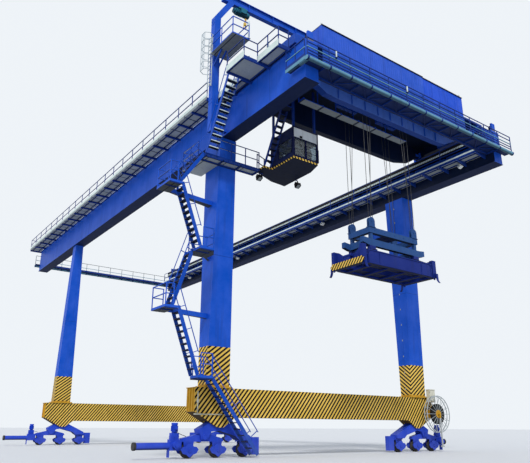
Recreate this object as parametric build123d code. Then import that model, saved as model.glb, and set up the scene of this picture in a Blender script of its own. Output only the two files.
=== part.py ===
from build123d import *
import math
import os

# Rail-mounted gantry crane as a 1:2 scale model. Every length is the model's own, in millimetres.
# X runs along the ground rails, Y along the girders from the near end to the far end, Z is up.
# The origin lies midway between the four legs, on the level that the wheel flanges reach down to.

# Stance
RAIL_SPAN = 13000
LEG_BASE = 8000
LEG_X = LEG_BASE / 2
NEAR_RAIL = -RAIL_SPAN / 2

# Travelling wheels and their trucks
WHEEL_RADIUS = 175
FLANGE_HEIGHT = 15
TREAD_WIDTH = 60
FLANGE_THICK = 12
AXLE_RADIUS = 32
AXLE_PLAY = 0.05
WHEEL_SIDE_GAP = 9
WHEEL_TOP_GAP = 14
CHEEK = 26
HUB_REACH = 150
HUB_PLATE = 25
HUB_BOSS = 75
TRUCK_WHEELBASE = 830
TRUCK_OFFSET = 420
TRUCK_BEAM = 110
PIVOT_RADIUS = 38
PIN_INSET = 120
PIN_HEIGHT = 800
EQUALIZER_WIDTH = 300
NOSE = 320
DRIVE_TALL = 390
DRIVE_MOTOR = 72
BUFFER_HEIGHT = 300
BUFFER_REACH = 2180
BUFFER_SHORT = 1430
BUFFER_RADIUS = 95
BUFFER_HEAD = 60

# Sill beams that join the legs over each rail
SILL_BOTTOM = 985
SILL_DEPTH = 740
SILL_WIDTH = 430
SILL_OVERHANG = 675
COLLAR = 32

# Legs
LEG_FOOT_X = 720
LEG_HEAD_X = 540
RIGID_FOOT_Y = 440
RIGID_HEAD_Y = 850
SLIM_HEAD_X = 350
SLIM_Y = 380

# Girders
GIRDER_BOTTOM = 8950
GIRDER_DEPTH = 1165
GIRDER_WIDTH = 420
GIRDER_NEAR = NEAR_RAIL - 4300
GIRDER_FAR = -NEAR_RAIL + 5960
FLANGE_LIP = 30
FLANGE_PLATE = 20
RAIL_WIDE = 50
RAIL_TALL = 55
END_STOP = 250
GIRDER_TOP = GIRDER_BOTTOM + GIRDER_DEPTH
CRANE_RAIL_TOP = GIRDER_TOP + RAIL_TALL

# Walkways and railings
DECK = 30
WALK_WIDTH = 570
WALK_GAP = 30
WALK_PITCH = 925
WALK_START = NEAR_RAIL - 430
BESIDE_STAIR_X = -LEG_X - 540
TOE_TALL = 130
TOE_LOW = 80
TOE_THICK = 8
RAILING_TALL = 550
KNEE_SHARE = 0.52
POST = 22
BRACKET = 40
BRACKET_TALL = 70
RIGHT_DECK = GIRDER_BOTTOM + 400
RIGHT_WALK = 470
RIGHT_PITCH = 1475
TRAY_WIDE = 250
TRAY_TALL = 200
TRAY_WALL = 12
TRAY_DROP = 330

# End ties
TIE_LEVEL = GIRDER_BOTTOM + 350
TIE_OUT = 275
TIE_IN = 240
TIE_HALF = LEG_X + 410
TIE_TUBE = 60
TIE_PITCH = 780
NEAR_TIE_RAILS = (0.18, 0.34, KNEE_SHARE, 0.76, 1.0)
RETURN_LONG = 560

# Stair tower on the near left leg
STAIR_WIDTH = 350
STRINGER_TALL = 100
STRINGER_THICK = 12
TREAD_DEPTH = 120
TREAD_THICK = 16
STAIR_RISE = 150
STAIR_POST = 18
STAIR_INNER = NEAR_RAIL - 500
STAIR_OUTER = NEAR_RAIL - 900
STAIR_FOOT = (-LEG_X + 990, 75)
LANDING_PLATE = 60
# Each landing: its level, and the reach in X of its outer and inner lane from the leg's middle
LANDINGS = ((1940, (-1105, -690), (-890, -460)), (3565, (-2090, -1720), (-2090, -1720)),
            (5215, (-1175, -775), (-1175, -550)), (6865, (-2170, -1790), (-2170, -1790)))
STRUT_TALL = 130
TOP_DECK_DROP = 835
TOP_DECK = GIRDER_BOTTOM - TOP_DECK_DROP
TOP_DECK_LEFT = -LEG_X - 950
TOP_DECK_RIGHT = -LEG_X + 920
TOP_DECK_NEAR = NEAR_RAIL - 750
TOP_DECK_BACK = NEAR_RAIL + 650
TOP_STAIR_RUN = 1100
STAIR_HEAD_Y = TOP_DECK_NEAR - TOP_STAIR_RUN
WIDE_BAY_Y = (STAIR_HEAD_Y - 965, STAIR_HEAD_Y - 85)
SLIM_BAY_Y = (WIDE_BAY_Y[0] - 935, WIDE_BAY_Y[0])
WIDE_BAY_X = -LEG_X - 1075
SLIM_BAY_X = -TIE_HALF - 225

# Service portal that stands over the walkway
MAST_X = LEG_X + 670
MAST_Y = NEAR_RAIL - 575
MAST_SIDE = 215
MAST_FOOT_LEFT = GIRDER_BOTTOM - 50
MAST_FOOT_RIGHT = GIRDER_BOTTOM + 450
BEAM_LEVEL = GIRDER_TOP + 3635
BEAM_TALL = 300
BEAM_WIDE = 150
BEAM_PLATE = 20
GOOSENECK = 820
PERCH_LEVEL = GIRDER_TOP + 1385
PERCH_LONG = 1365
SERVICE_HOIST_X = -LEG_X + 280

# Cable reel beside the near right leg
REEL_X = LEG_X + 550
REEL_Y = NEAR_RAIL - 510
REEL_Z = 1195
REEL_RADIUS = 600
REEL_WIDE = 120
REEL_SPOKES = 16
REEL_SPOKE = 12
REEL_HUB = 130
REEL_PACK = 330
REEL_SHAFT = 40

# Trolley
HOIST_Y = NEAR_RAIL - 2695
CARRIAGE_NEAR = -1100
CARRIAGE_FAR = 1700
CARRIAGE_WIDE = 260
TROLLEY_WHEEL = 150
TROLLEY_WHEEL_WIDE = 70
RAIL_GAP = 2
FLOOR_BOTTOM = CRANE_RAIL_TOP + 420
FLOOR = 30
FRONT_BEAM_Y = -495
REAR_BEAM_Y = 1500
BEAM_THICK = 200
FRONT_BELLY = GIRDER_TOP - 515
REAR_BELLY = GIRDER_TOP - 335
BEAM_RIB = 40
APRON = 20
CATWALK_LEVEL = GIRDER_TOP - 465
CATWALK_BAY = 730
FLOOR_TOP = FLOOR_BOTTOM + FLOOR

# Machine house and electrical house
HOUSE_HALF = LEG_X - 850
HOUSE_SPLIT = 1135
HOUSE_NEAR = -1080
HOUSE_FAR = 1020
HOUSE_TALL = 760
ELECTRICAL_TALL = 730
EAVES = 25

# Driver's cab
CAB_LEFT = -LEG_X + 1225
CAB_RIGHT = -LEG_X + 2150
CAB_NEAR = HOIST_Y + 695
CAB_FAR = HOIST_Y + 1795
CAB_FLOOR = TOP_DECK + 35
CAB_TOP = CAB_FLOOR + 960
CAB_WALL = 25
CAB_FASCIA = 340
CAB_SILL = 40
CAB_DECK = 60
CAB_WING = 285
CAB_STAIR_TOP = FLOOR_BOTTOM - 890
CAB_STAIR_SLOPE = 1.83
CAB_STAIR_WIDTH = 240
LAMP = 80

# Headblock, spreader and ropes
SPREADER_BOTTOM = 4900
SPREADER_DEPTH = 400
YOKE_HALF_X = 1270
YOKE_WEDGE = 200
YOKE_LEVEL = SPREADER_BOTTOM + SPREADER_DEPTH + 205
YOKE_DEPTH = 190
HEAD_HALF_X = 1000
HEAD_HALF_Y = 425
HEAD_LEVEL = YOKE_LEVEL + YOKE_DEPTH + 185
HEAD_DEPTH = 165
TOWER_TOP = HEAD_LEVEL + HEAD_DEPTH + 305
TOWER_WIDE = 230
SPREADER_HALF_X = 1515
SPREADER_HALF_Y = 610
SIDE_BEAM = 110
SIDE_HALF = 1320
CROSS_TIE = 40
END_BEAM = 150
END_TALL = 175
UPSTAND = 50
UPSTAND_TALL = 145
CORNER_POST = 110
CORNER_TALL = 345
SLIDE_WIDE = 110
SLIDE_TALL = 150
SLIDE_LOW = SPREADER_BOTTOM + CROSS_TIE + 10
LANE_OUT = 395
LANE_IN = 255
ARM_TAIL = 1150
TWISTLOCK_X = 2926.5
TWISTLOCK_Y = 1129.5
TWISTLOCK_RADIUS = 26
TWISTLOCK_LONG = 45
FLIPPER_LONG = 250
FLIPPER_WIDE = 70
FLIPPER_OUT = 45
FLIPPER_PIVOT = SPREADER_BOTTOM + 85
FLIPPER_BORE = 12
ROPE = 14
ROPE_TOP = FLOOR_BOTTOM - 440

PARTS = "parts"

# Levels that follow from the sizes above
AXLE_HEIGHT = FLANGE_HEIGHT + WHEEL_RADIUS
WHEEL_ROOF = AXLE_HEIGHT + WHEEL_RADIUS + FLANGE_HEIGHT + WHEEL_TOP_GAP
CHEEK_IN = TREAD_WIDTH / 2 + FLANGE_THICK + WHEEL_SIDE_GAP
CHEEK_OUT = CHEEK_IN + CHEEK
TRUCK_TOP = WHEEL_ROOF + TRUCK_BEAM
TRUCK_MIDDLE = PIN_INSET - TRUCK_OFFSET
SINGLE_WHEEL = PIN_INSET + 2 * TRUCK_OFFSET
SILL_TOP = SILL_BOTTOM + SILL_DEPTH
LEG_LOW = SILL_TOP + COLLAR
GIRDER_WEB = LEG_X + GIRDER_WIDTH / 2
GIRDER_FACE = LEG_X - GIRDER_WIDTH / 2 - FLANGE_LIP
GIRDER_BACK = GIRDER_WEB + FLANGE_LIP
TIE_DECK = TIE_LEVEL + TIE_TUBE


# Shapes that repeat

def block(x, y, z):
    """A box between a low and a high value on each axis."""
    size = [high - low for low, high in (x, y, z)]
    middle = [(high + low) / 2 for low, high in (x, y, z)]
    return Pos(*middle) * Box(*size)


def bar(start, end, wide, tall):
    """A straight rectangular bar: wide is its level side, tall its other side."""
    start, run = Vector(*start), Vector(*end) - Vector(*start)
    level = Vector(0, 0, 1).cross(run)
    level = level if level.length > 1e-6 else Vector(1, 0, 0)
    place = Plane(origin=start + run * 0.5, x_dir=level.normalized(), z_dir=run.normalized())
    return place * Box(wide, tall, run.length)


def rod(start, end, radius):
    """A round bar between two points."""
    start, run = Vector(*start), Vector(*end) - Vector(*start)
    place = Plane(origin=start + run * 0.5, z_dir=run.normalized())
    return place * Cylinder(radius, run.length)


def plate_xz(points, low, high):
    """A plate whose outline is drawn in X and Z, between two values of Y."""
    outline = make_face(Polyline(*[(x, 0, z) for x, z in points], close=True))
    return Pos(0, low, 0) * extrude(outline, high - low, dir=(0, 1, 0))


def plate_yz(points, low, high):
    """A plate whose outline is drawn in Y and Z, between two values of X."""
    outline = make_face(Polyline(*[(0, y, z) for y, z in points], close=True))
    return Pos(low, 0, 0) * extrude(outline, high - low, dir=(1, 0, 0))


def plate_xy(points, low, high):
    """A plate whose outline is drawn in X and Y, between two levels."""
    outline = make_face(Polyline(*[(x, y, 0) for x, y in points], close=True))
    return Pos(0, 0, low) * extrude(outline, high - low, dir=(0, 0, 1))


def joined(pieces):
    """Pieces that are welded together, as one shape."""
    return Part() + list(pieces)


def flipped(shape, plane=Plane.YZ):
    """The shape's mirror image in a plane through the origin."""
    return mirror(shape, about=plane)


def steps(low, high, pitch):
    """Evenly spaced values from low to high, no further apart than pitch."""
    count = max(1, math.ceil((high - low) / pitch))
    return [low + (high - low) * i / count for i in range(count + 1)]


def railing(path, pitch=750, shares=(KNEE_SHARE, 1.0)):
    """Posts and rails along a path of deck points; shares are the rails' heights as parts of the whole."""
    pieces = []
    half = POST / 2
    for start, end in zip(path, path[1:]):
        for share in shares:
            rise = RAILING_TALL * share - half
            pieces.append(bar((start[0], start[1], start[2] + rise), (end[0], end[1], end[2] + rise), POST, POST))
        length = math.dist(start, end)
        for way in steps(0, length, pitch):
            x, y, z = (a + (b - a) * way / length for a, b in zip(start, end))
            pieces.append(block((x - half, x + half), (y - half, y + half), (z, z + RAILING_TALL)))
    return pieces


# Travelling gear. Corner pieces are drawn at the near left leg, with x inwards from the leg's
# middle and y from the rail, and are then set at each leg.

def corner(shape, left, near):
    """Set a corner piece at one of the four legs."""
    shape = shape if near else flipped(shape, Plane.XZ)
    shape = Pos(-LEG_X, NEAR_RAIL if near else -NEAR_RAIL, 0) * shape
    return shape if left else flipped(shape, Plane.YZ)


def wheel(x):
    """A double-flanged travelling wheel with its axle, turning about Y."""
    half = TREAD_WIDTH / 2
    body = Cylinder(WHEEL_RADIUS, TREAD_WIDTH)
    for side in (-1, 1):
        flange = Cylinder(WHEEL_RADIUS + FLANGE_HEIGHT, FLANGE_THICK)
        body += Pos(0, 0, side * (half + FLANGE_THICK / 2)) * flange
    body += Cylinder(AXLE_RADIUS, 2 * (CHEEK_OUT - 1))
    return Pos(x, 0, AXLE_HEIGHT) * Rot(90, 0, 0) * body


def wheel_fork(x, roof):
    """The two side plates that carry a wheel, with a boss and a lobed axle housing outside each."""
    skirt = [(x - 150, roof), (x + 150, roof), (x + 100, AXLE_HEIGHT - 70), (x - 100, AXLE_HEIGHT - 70)]
    half_lobes = [(70, 150), (110, 95), (190, 85), (250, 20), (190, -70), (90, -100)]
    lobes = half_lobes + [(0, -165)] + [(-a, b) for a, b in reversed(half_lobes)]
    housing = [(x + a, AXLE_HEIGHT + b) for a, b in lobes]
    pieces = []
    for side in (-1, 1):
        low, high = sorted((side * CHEEK_IN, side * CHEEK_OUT))
        bore = Pos(x, (low + high) / 2, AXLE_HEIGHT) * Rot(90, 0, 0) * Cylinder(AXLE_RADIUS + AXLE_PLAY, 2 * CHEEK)
        pieces.append(plate_xz(skirt, low, high) - bore)
        inner = side * (HUB_REACH - HUB_PLATE)
        pieces.append(rod((x, side * CHEEK_OUT, AXLE_HEIGHT), (x, inner, AXLE_HEIGHT), HUB_BOSS))
        pieces.append(plate_xz(housing, *sorted((inner, side * HUB_REACH))))
        pieces.append(rod((x, side * HUB_REACH, AXLE_HEIGHT), (x, side * (HUB_REACH + 14), AXLE_HEIGHT), 52))
    return pieces


def truck(reach):
    """The outer two-wheel truck with its drive, pivot pin, rail sweeper and a buffer of the given reach."""
    near_end, far_end = TRUCK_MIDDLE - TRUCK_WHEELBASE / 2, TRUCK_MIDDLE + TRUCK_WHEELBASE / 2
    side = CHEEK_OUT
    hump = [(near_end - 190, WHEEL_ROOF), (far_end + 190, WHEEL_ROOF), (far_end + 150, TRUCK_TOP - 30),
            (TRUCK_MIDDLE + 190, TRUCK_TOP + 60), (TRUCK_MIDDLE - 190, TRUCK_TOP + 60),
            (near_end - 190, TRUCK_TOP - 30)]
    pieces = [plate_xz(hump, -side, side)]
    for x in (near_end, far_end):
        pieces += wheel_fork(x, WHEEL_ROOF + 20)
    pin = EQUALIZER_WIDTH / 2 + 15
    pieces.append(rod((TRUCK_MIDDLE, -pin, TRUCK_TOP), (TRUCK_MIDDLE, pin, TRUCK_TOP), PIVOT_RADIUS))
    nose = near_end - 190
    front = nose - NOSE - 10
    pieces.append(block((front, nose - 10), (-side, side), (WHEEL_ROOF - 200, WHEEL_ROOF + 60)))
    pieces.append(block((nose - 20, nose + 20), (-side, side), (WHEEL_ROOF, WHEEL_ROOF + 60)))
    x, gear = nose - 190, WHEEL_ROOF + 60
    pieces.append(block((x - 105, x + 105), (20 - side, side - 20), (gear, gear + 150)))
    pieces.append(block((x - 60, x + 60), (40 - side, side - 40), (gear + 150, gear + 180)))
    pieces.append(rod((x, 0, gear + 180), (x, 0, gear + DRIVE_TALL - 50), DRIVE_MOTOR))
    pieces.append(rod((x, 0, gear + DRIVE_TALL - 50), (x, 0, gear + DRIVE_TALL), DRIVE_MOTOR + 9))
    pieces.append(rod((x, -side - 110, WHEEL_ROOF - 70), (x, side, WHEEL_ROOF - 70), 95))
    pieces.append(rod((x, -side - 130, WHEEL_ROOF - 70), (x, -side - 110, WHEEL_ROOF - 70), 60))
    pieces.append(block((front - 16, front), (-TREAD_WIDTH, TREAD_WIDTH), (FLANGE_HEIGHT + 20, WHEEL_ROOF - 60)))
    head = BUFFER_HEAD - reach
    pieces.append(rod((front, 0, BUFFER_HEIGHT), (head, 0, BUFFER_HEIGHT), BUFFER_RADIUS - 12))
    pieces.append(rod((head, 0, BUFFER_HEIGHT), (-reach, 0, BUFFER_HEIGHT), BUFFER_RADIUS))
    return joined(pieces)


def equalizer():
    """The equalising beam: an open V from the main pin down to the inner wheel and to the truck."""
    half = EQUALIZER_WIDTH / 2
    top = PIN_HEIGHT + 90
    outline = [(TRUCK_MIDDLE - 90, TRUCK_TOP - 60), (TRUCK_MIDDLE + 90, TRUCK_TOP - 60),
               (TRUCK_MIDDLE + 190, TRUCK_TOP + 130), (PIN_INSET, PIN_HEIGHT - 140),
               (SINGLE_WHEEL - 330, WHEEL_ROOF + 130), (SINGLE_WHEEL - 200, WHEEL_ROOF + 30),
               (SINGLE_WHEEL + 150, WHEEL_ROOF + 30), (SINGLE_WHEEL + 150, WHEEL_ROOF + 130),
               (PIN_INSET + 210, top), (PIN_INSET - 210, top), (TRUCK_MIDDLE - 160, TRUCK_TOP + 190)]
    beam = plate_xz(outline, -half, half)
    reach = CHEEK_OUT + 8
    beam -= block((TRUCK_MIDDLE - 400, TRUCK_MIDDLE + 260), (-reach, reach), (0, TRUCK_TOP + 75))
    beam -= rod((TRUCK_MIDDLE, -2 * half, TRUCK_TOP), (TRUCK_MIDDLE, 2 * half, TRUCK_TOP), PIVOT_RADIUS)
    pieces = [beam]
    pieces.append(block((SINGLE_WHEEL - 190, SINGLE_WHEEL + 190), (-CHEEK_OUT, CHEEK_OUT),
                        (WHEEL_ROOF, WHEEL_ROOF + 60)))
    pieces += wheel_fork(SINGLE_WHEEL, WHEEL_ROOF + 20)
    pieces.append(block((SINGLE_WHEEL + 240, SINGLE_WHEEL + 480), (-CHEEK_OUT, CHEEK_OUT),
                        (FLANGE_HEIGHT + 40, WHEEL_ROOF + 100)))
    pieces.append(block((SINGLE_WHEEL + 120, SINGLE_WHEEL + 260), (-60, 60), (WHEEL_ROOF - 20, WHEEL_ROOF + 90)))
    return joined(pieces)


# Sills and legs

def sill(y):
    """A box sill with a pin bracket under each leg, astride the equalising beam, and bolting collars."""
    outer = LEG_X + SILL_OVERHANG
    pin = LEG_X - PIN_INSET
    tip = PIN_HEIGHT - 65
    shape = [(outer, SILL_TOP), (outer, SILL_BOTTOM + 130), (pin + 90, tip), (pin - 90, tip),
             (pin - 460, SILL_BOTTOM)]
    outline = shape + [(-x, z) for x, z in reversed(shape)]
    body = plate_xz(outline, y - SILL_WIDTH / 2, y + SILL_WIDTH / 2)
    reach = EQUALIZER_WIDTH / 2
    for side in (-1, 1):
        low, high = sorted((side * (pin - 560), side * (outer + 50)))
        body -= block((low, high), (y - reach, y + reach), (0, PIN_HEIGHT + 90))
        x = side * LEG_X
        body += block((x - LEG_FOOT_X / 2 - 70, x + LEG_FOOT_X / 2 + 70),
                      (y - SILL_WIDTH / 2 - 50, y + SILL_WIDTH / 2 + 50), (SILL_TOP, LEG_LOW))
    return body


def leg(x, y, foot, head):
    """A tapering box leg from the sill's collar to the girder's underside."""
    low = Pos(x, y, LEG_LOW) * Rectangle(*foot)
    high = Pos(x, y, GIRDER_BOTTOM) * Rectangle(*head)
    return loft([low.faces()[0], high.faces()[0]])


# Girders, end ties, walkways and tray

def girder(side):
    """A closed box girder with lipped flanges, a crane rail on top and end stops."""
    x = side * LEG_X
    half = GIRDER_WIDTH / 2
    ends = (GIRDER_NEAR, GIRDER_FAR)
    pieces = [block((x - half, x + half), ends, (GIRDER_BOTTOM, GIRDER_TOP))]
    for low in (GIRDER_BOTTOM, GIRDER_TOP - FLANGE_PLATE):
        pieces.append(block((x - half - FLANGE_LIP, x + half + FLANGE_LIP), ends, (low, low + FLANGE_PLATE)))
    pieces.append(block((x - RAIL_WIDE / 2, x + RAIL_WIDE / 2), (GIRDER_NEAR + 60, GIRDER_FAR - 60),
                        (GIRDER_TOP, CRANE_RAIL_TOP)))
    for low in (GIRDER_NEAR + 20, GIRDER_FAR - 80):
        pieces.append(block((x - 90, x + 90), (low, low + 60), (GIRDER_TOP, CRANE_RAIL_TOP + END_STOP)))
    return joined(pieces)


def end_tie(near):
    """The walkway across the girders' ends: outer tube, inner chord, lattice, deck and railing."""
    face = GIRDER_NEAR if near else GIRDER_FAR
    out = -1 if near else 1
    outer, inner = face + out * TIE_OUT, face - out * TIE_IN
    side = GIRDER_FACE
    pieces = [rod((-TIE_HALF, outer, TIE_LEVEL), (TIE_HALF, outer, TIE_LEVEL), TIE_TUBE)]
    pieces.append(bar((-side, inner, TIE_LEVEL), (side, inner, TIE_LEVEL), 60, 60))
    spots = steps(-side + 30, side - 30, 640)
    for i, x in enumerate(spots):
        pieces.append(bar((x, inner, TIE_LEVEL), (x, outer, TIE_LEVEL), 40, 40))
        if i + 1 < len(spots):
            ends = (inner, outer) if i % 2 else (outer, inner)
            pieces.append(bar((x, ends[0], TIE_LEVEL), (spots[i + 1], ends[1], TIE_LEVEL), 26, 26))
    shelf = face + out * 0.5
    pieces.append(block((-TIE_HALF, TIE_HALF), sorted((shelf, outer)), (TIE_DECK - DECK, TIE_DECK)))
    pieces.append(block((-side, side), sorted((inner, shelf)), (TIE_DECK - DECK, TIE_DECK)))
    for turn in (-1, 1):
        pieces.append(block(sorted((turn * side, turn * (side - 40))), sorted((inner, outer)),
                            (TIE_LEVEL - 30, TIE_DECK - DECK)))
    shares = NEAR_TIE_RAILS if near else (KNEE_SHARE, 1.0)
    pieces += railing([(-TIE_HALF + 30, outer, TIE_DECK), (TIE_HALF - 30, outer, TIE_DECK)], TIE_PITCH, shares)
    return joined(pieces)


def tie_cabinet():
    """The control cabinet that stands on the near end tie's deck, towards its right end."""
    low = GIRDER_NEAR - TIE_OUT + 95
    return block((LEG_X - 1100, LEG_X - 400), (low, low + 140), (TIE_DECK, TIE_DECK + 510))


def side_return():
    """The near end walkway's return along the left girder, with its own railing."""
    near, back = GIRDER_NEAR - TIE_OUT + TIE_TUBE, GIRDER_NEAR + RETURN_LONG
    pieces = [block((-TIE_HALF, -GIRDER_BACK), (near, back), (TIE_DECK - DECK, TIE_DECK))]
    pieces.append(block((-TIE_HALF - TOE_THICK, -TIE_HALF), (near, back), (TIE_DECK - 90, TIE_DECK + TOE_LOW)))
    tube = -TIE_HALF + TIE_TUBE
    pieces.append(rod((tube, near, TIE_LEVEL), (tube, near + 250, TIE_LEVEL), TIE_TUBE))
    x = -TIE_HALF + POST / 2
    pieces += railing([(x, near + 20, TIE_DECK), (x, back - 20, TIE_DECK)], pitch=600)
    return joined(pieces)


def deck_bay(outer, low, high):
    """A stretch of the left walkway: plate, toe board and the brackets that reach to the girder's web."""
    pieces = [block((outer, -GIRDER_BACK - WALK_GAP), (low, high), (GIRDER_TOP - DECK, GIRDER_TOP))]
    pieces.append(block((outer - TOE_THICK, outer), (low, high), (GIRDER_TOP - 2 * DECK, GIRDER_TOP + TOE_TALL)))
    under = GIRDER_TOP - DECK
    for y in steps(low + BRACKET / 2, high - BRACKET / 2, WALK_PITCH):
        pieces.append(block((outer, -GIRDER_WEB), (y - BRACKET / 2, y + BRACKET / 2), (under - BRACKET_TALL, under)))
    return pieces


def left_walkway():
    """The outer walkway along the left girder, narrowed beside the stair and widened past it."""
    outer = -GIRDER_BACK - WALK_WIDTH
    pieces = deck_bay(outer, WALK_START, GIRDER_FAR)
    pieces += deck_bay(BESIDE_STAIR_X, WIDE_BAY_Y[1], WALK_START)
    pieces += deck_bay(WIDE_BAY_X, *WIDE_BAY_Y)
    pieces += deck_bay(SLIM_BAY_X, *SLIM_BAY_Y)
    return joined(pieces)


def left_railing():
    """The left walkway's railing and those of its widened bays."""
    half = POST / 2
    outer = -GIRDER_BACK - WALK_WIDTH + half
    inner = -GIRDER_BACK - WALK_GAP - 20
    z = GIRDER_TOP
    path = [(outer, WALK_START + 20, z), (outer, GIRDER_FAR - 20, z), (inner, GIRDER_FAR - 20, z)]
    pieces = railing(path, WALK_PITCH)
    wide, slim = WIDE_BAY_X + half, SLIM_BAY_X + half
    low, high = WIDE_BAY_Y
    pieces += railing([(wide, high - 20, z), (wide, low + 20, z), (slim, low + 20, z), (slim, SLIM_BAY_Y[0] + 20, z),
                       (inner, SLIM_BAY_Y[0] + 20, z)], WALK_PITCH)
    return joined(pieces)


def right_walkway():
    """The service walkway low on the right girder's inner face, with its railing."""
    outer = GIRDER_FACE + FLANGE_LIP
    inner = outer - RIGHT_WALK
    low, high = GIRDER_NEAR + TIE_OUT + 40, GIRDER_FAR - TIE_OUT - 40
    pieces = [block((inner, outer), (low, high), (RIGHT_DECK - DECK, RIGHT_DECK))]
    pieces.append(block((inner - TOE_THICK, inner), (low, high), (RIGHT_DECK - 2 * DECK, RIGHT_DECK + TOE_LOW)))
    for y in steps(low + BRACKET / 2, high - BRACKET / 2, RIGHT_PITCH / 2):
        shape = [(outer, RIGHT_DECK - DECK), (inner, RIGHT_DECK - DECK), (inner, RIGHT_DECK - 90),
                 (outer, RIGHT_DECK - 180)]
        pieces.append(plate_xz(shape, y - BRACKET / 2, y + BRACKET / 2))
    x = inner + POST / 2
    pieces += railing([(x, low + 20, RIGHT_DECK), (x, high - 20, RIGHT_DECK)], RIGHT_PITCH)
    return joined(pieces)


def cable_tray():
    """The trough high on the right girder's inner face that guides the trolley's energy chain."""
    outer = GIRDER_FACE
    inner = outer - TRAY_WIDE
    low, high = GIRDER_NEAR + 400, GIRDER_FAR - 400
    floor = GIRDER_TOP - TRAY_DROP
    trough = block((inner, outer), (low, high), (floor, floor + TRAY_TALL))
    trough -= block((inner + TRAY_WALL, outer - TRAY_WALL), (low, high), (floor + TRAY_WALL, floor + TRAY_TALL))
    pieces = [trough, block((inner + 25, outer - 25), (low + 10, high - 10), (floor + TRAY_WALL, floor + 130))]
    for y in steps(low + 40, high - 40, RIGHT_PITCH):
        pieces.append(block((inner, outer + FLANGE_LIP), (y - 15, y + 15), (floor - 30, floor)))
    return joined(pieces)


# Stairs and landings

def flight(start, end, middle, along="x", wide=STAIR_WIDTH, rails=True):
    """A straight flight from one (way, level) point to another: stringers, level treads, hand rails."""
    def at(way, side, z):
        return (way, middle + side, z) if along == "x" else (middle + side, way, z)

    (w0, z0), (w1, z1) = start, end
    run, rise = w1 - w0, z1 - z0
    length = math.hypot(run, rise)
    half = (wide - STRINGER_THICK) / 2
    # A post stands square on the stringer: where it meets the stringer lies this share further up than its head
    lag = RAILING_TALL * rise / length ** 2
    tall = RAILING_TALL * abs(run) / length
    lean = (-math.copysign(rise, run) / length * tall, abs(run) / length * tall)
    pieces = []
    for side in (-half, half):
        pieces.append(bar(at(w0, side, z0), at(w1, side, z1), STRINGER_THICK, STRINGER_TALL))
        if rails:
            low, high = at(w0, side, z0 + RAILING_TALL), at(w1, side, z1 + RAILING_TALL)
            pieces.append(bar(low, high, STAIR_POST, STAIR_POST))
            for share in (lag + 0.02, (1 + lag) / 2, 0.98):
                way, z = w0 + run * share, z0 + rise * share
                pieces.append(bar(at(way, side, z), at(way + lean[0], side, z + lean[1]), STAIR_POST, STAIR_POST))
    count = max(2, round(rise / STAIR_RISE))
    for i in range(1, count):
        way, z = w0 + run * i / count, z0 + rise * i / count
        ways, across = (way - TREAD_DEPTH / 2, way + TREAD_DEPTH / 2), (middle - half, middle + half)
        x, y = (ways, across) if along == "x" else (across, ways)
        pieces.append(block(x, y, (z - TREAD_THICK / 2, z + TREAD_THICK / 2)))
    return joined(pieces)


def lane_edges():
    """The near edge, the lane split and the back edge of the landings, which span both stair lanes."""
    near, back = STAIR_OUTER - STAIR_WIDTH / 2 - 15, STAIR_INNER + STAIR_WIDTH / 2 + 15
    return near, (STAIR_OUTER + STAIR_INNER) / 2, back


def landing_spans():
    """Level, outer lane span and inner lane span of each landing, in X."""
    return [(level, tuple(x - LEG_X for x in outer), tuple(x - LEG_X for x in inner))
            for level, outer, inner in LANDINGS]


def landing_room():
    """The space taken by the landings' and the top platform's plates, for cutting the flights to length."""
    near, split, back = lane_edges()
    room = []
    for level, outer, inner in landing_spans():
        room.append(block((outer[0] - 1, outer[1] + 1), (near, split), (level - 200, level + 1)))
        room.append(block((inner[0] - 1, inner[1] + 1), (split, back), (level - 200, level + 1)))
    room.append(block((TOP_DECK_LEFT - 1, TOP_DECK_RIGHT), (TOP_DECK_NEAR - 1, TOP_DECK_BACK),
                      (TOP_DECK - 200, TOP_DECK + 1)))
    return joined(room)


def stair_flights():
    """The five flights of the leg's stair tower, inner and outer lanes in turn, and the final flight."""
    one, two, three, four = landing_spans()
    room = landing_room()
    flights = {
        "stair_flight_1": flight(STAIR_FOOT, (one[2][1], one[0]), STAIR_INNER),
        "stair_flight_2": flight((one[1][0], one[0]), (two[1][1], two[0]), STAIR_OUTER),
        "stair_flight_3": flight((two[2][1], two[0]), (three[2][0], three[0]), STAIR_INNER),
        "stair_flight_4": flight((three[1][0], three[0]), (four[1][1], four[0]), STAIR_OUTER),
        "stair_flight_5": flight((four[2][1], four[0]), (TOP_DECK_LEFT, TOP_DECK), STAIR_INNER),
        "stair_flight_6": flight((TOP_DECK_NEAR, TOP_DECK), (STAIR_HEAD_Y, GIRDER_TOP),
                                 TOP_DECK_LEFT + STAIR_WIDTH / 2, along="y"),
    }
    return {name: shape - room for name, shape in flights.items()}


def leg_side(level):
    """Where the near left leg's outer face stands at a level."""
    share = (level - LEG_LOW) / (GIRDER_BOTTOM - LEG_LOW)
    return -LEG_X - (LEG_FOOT_X + (LEG_HEAD_X - LEG_FOOT_X) * share) / 2


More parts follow.
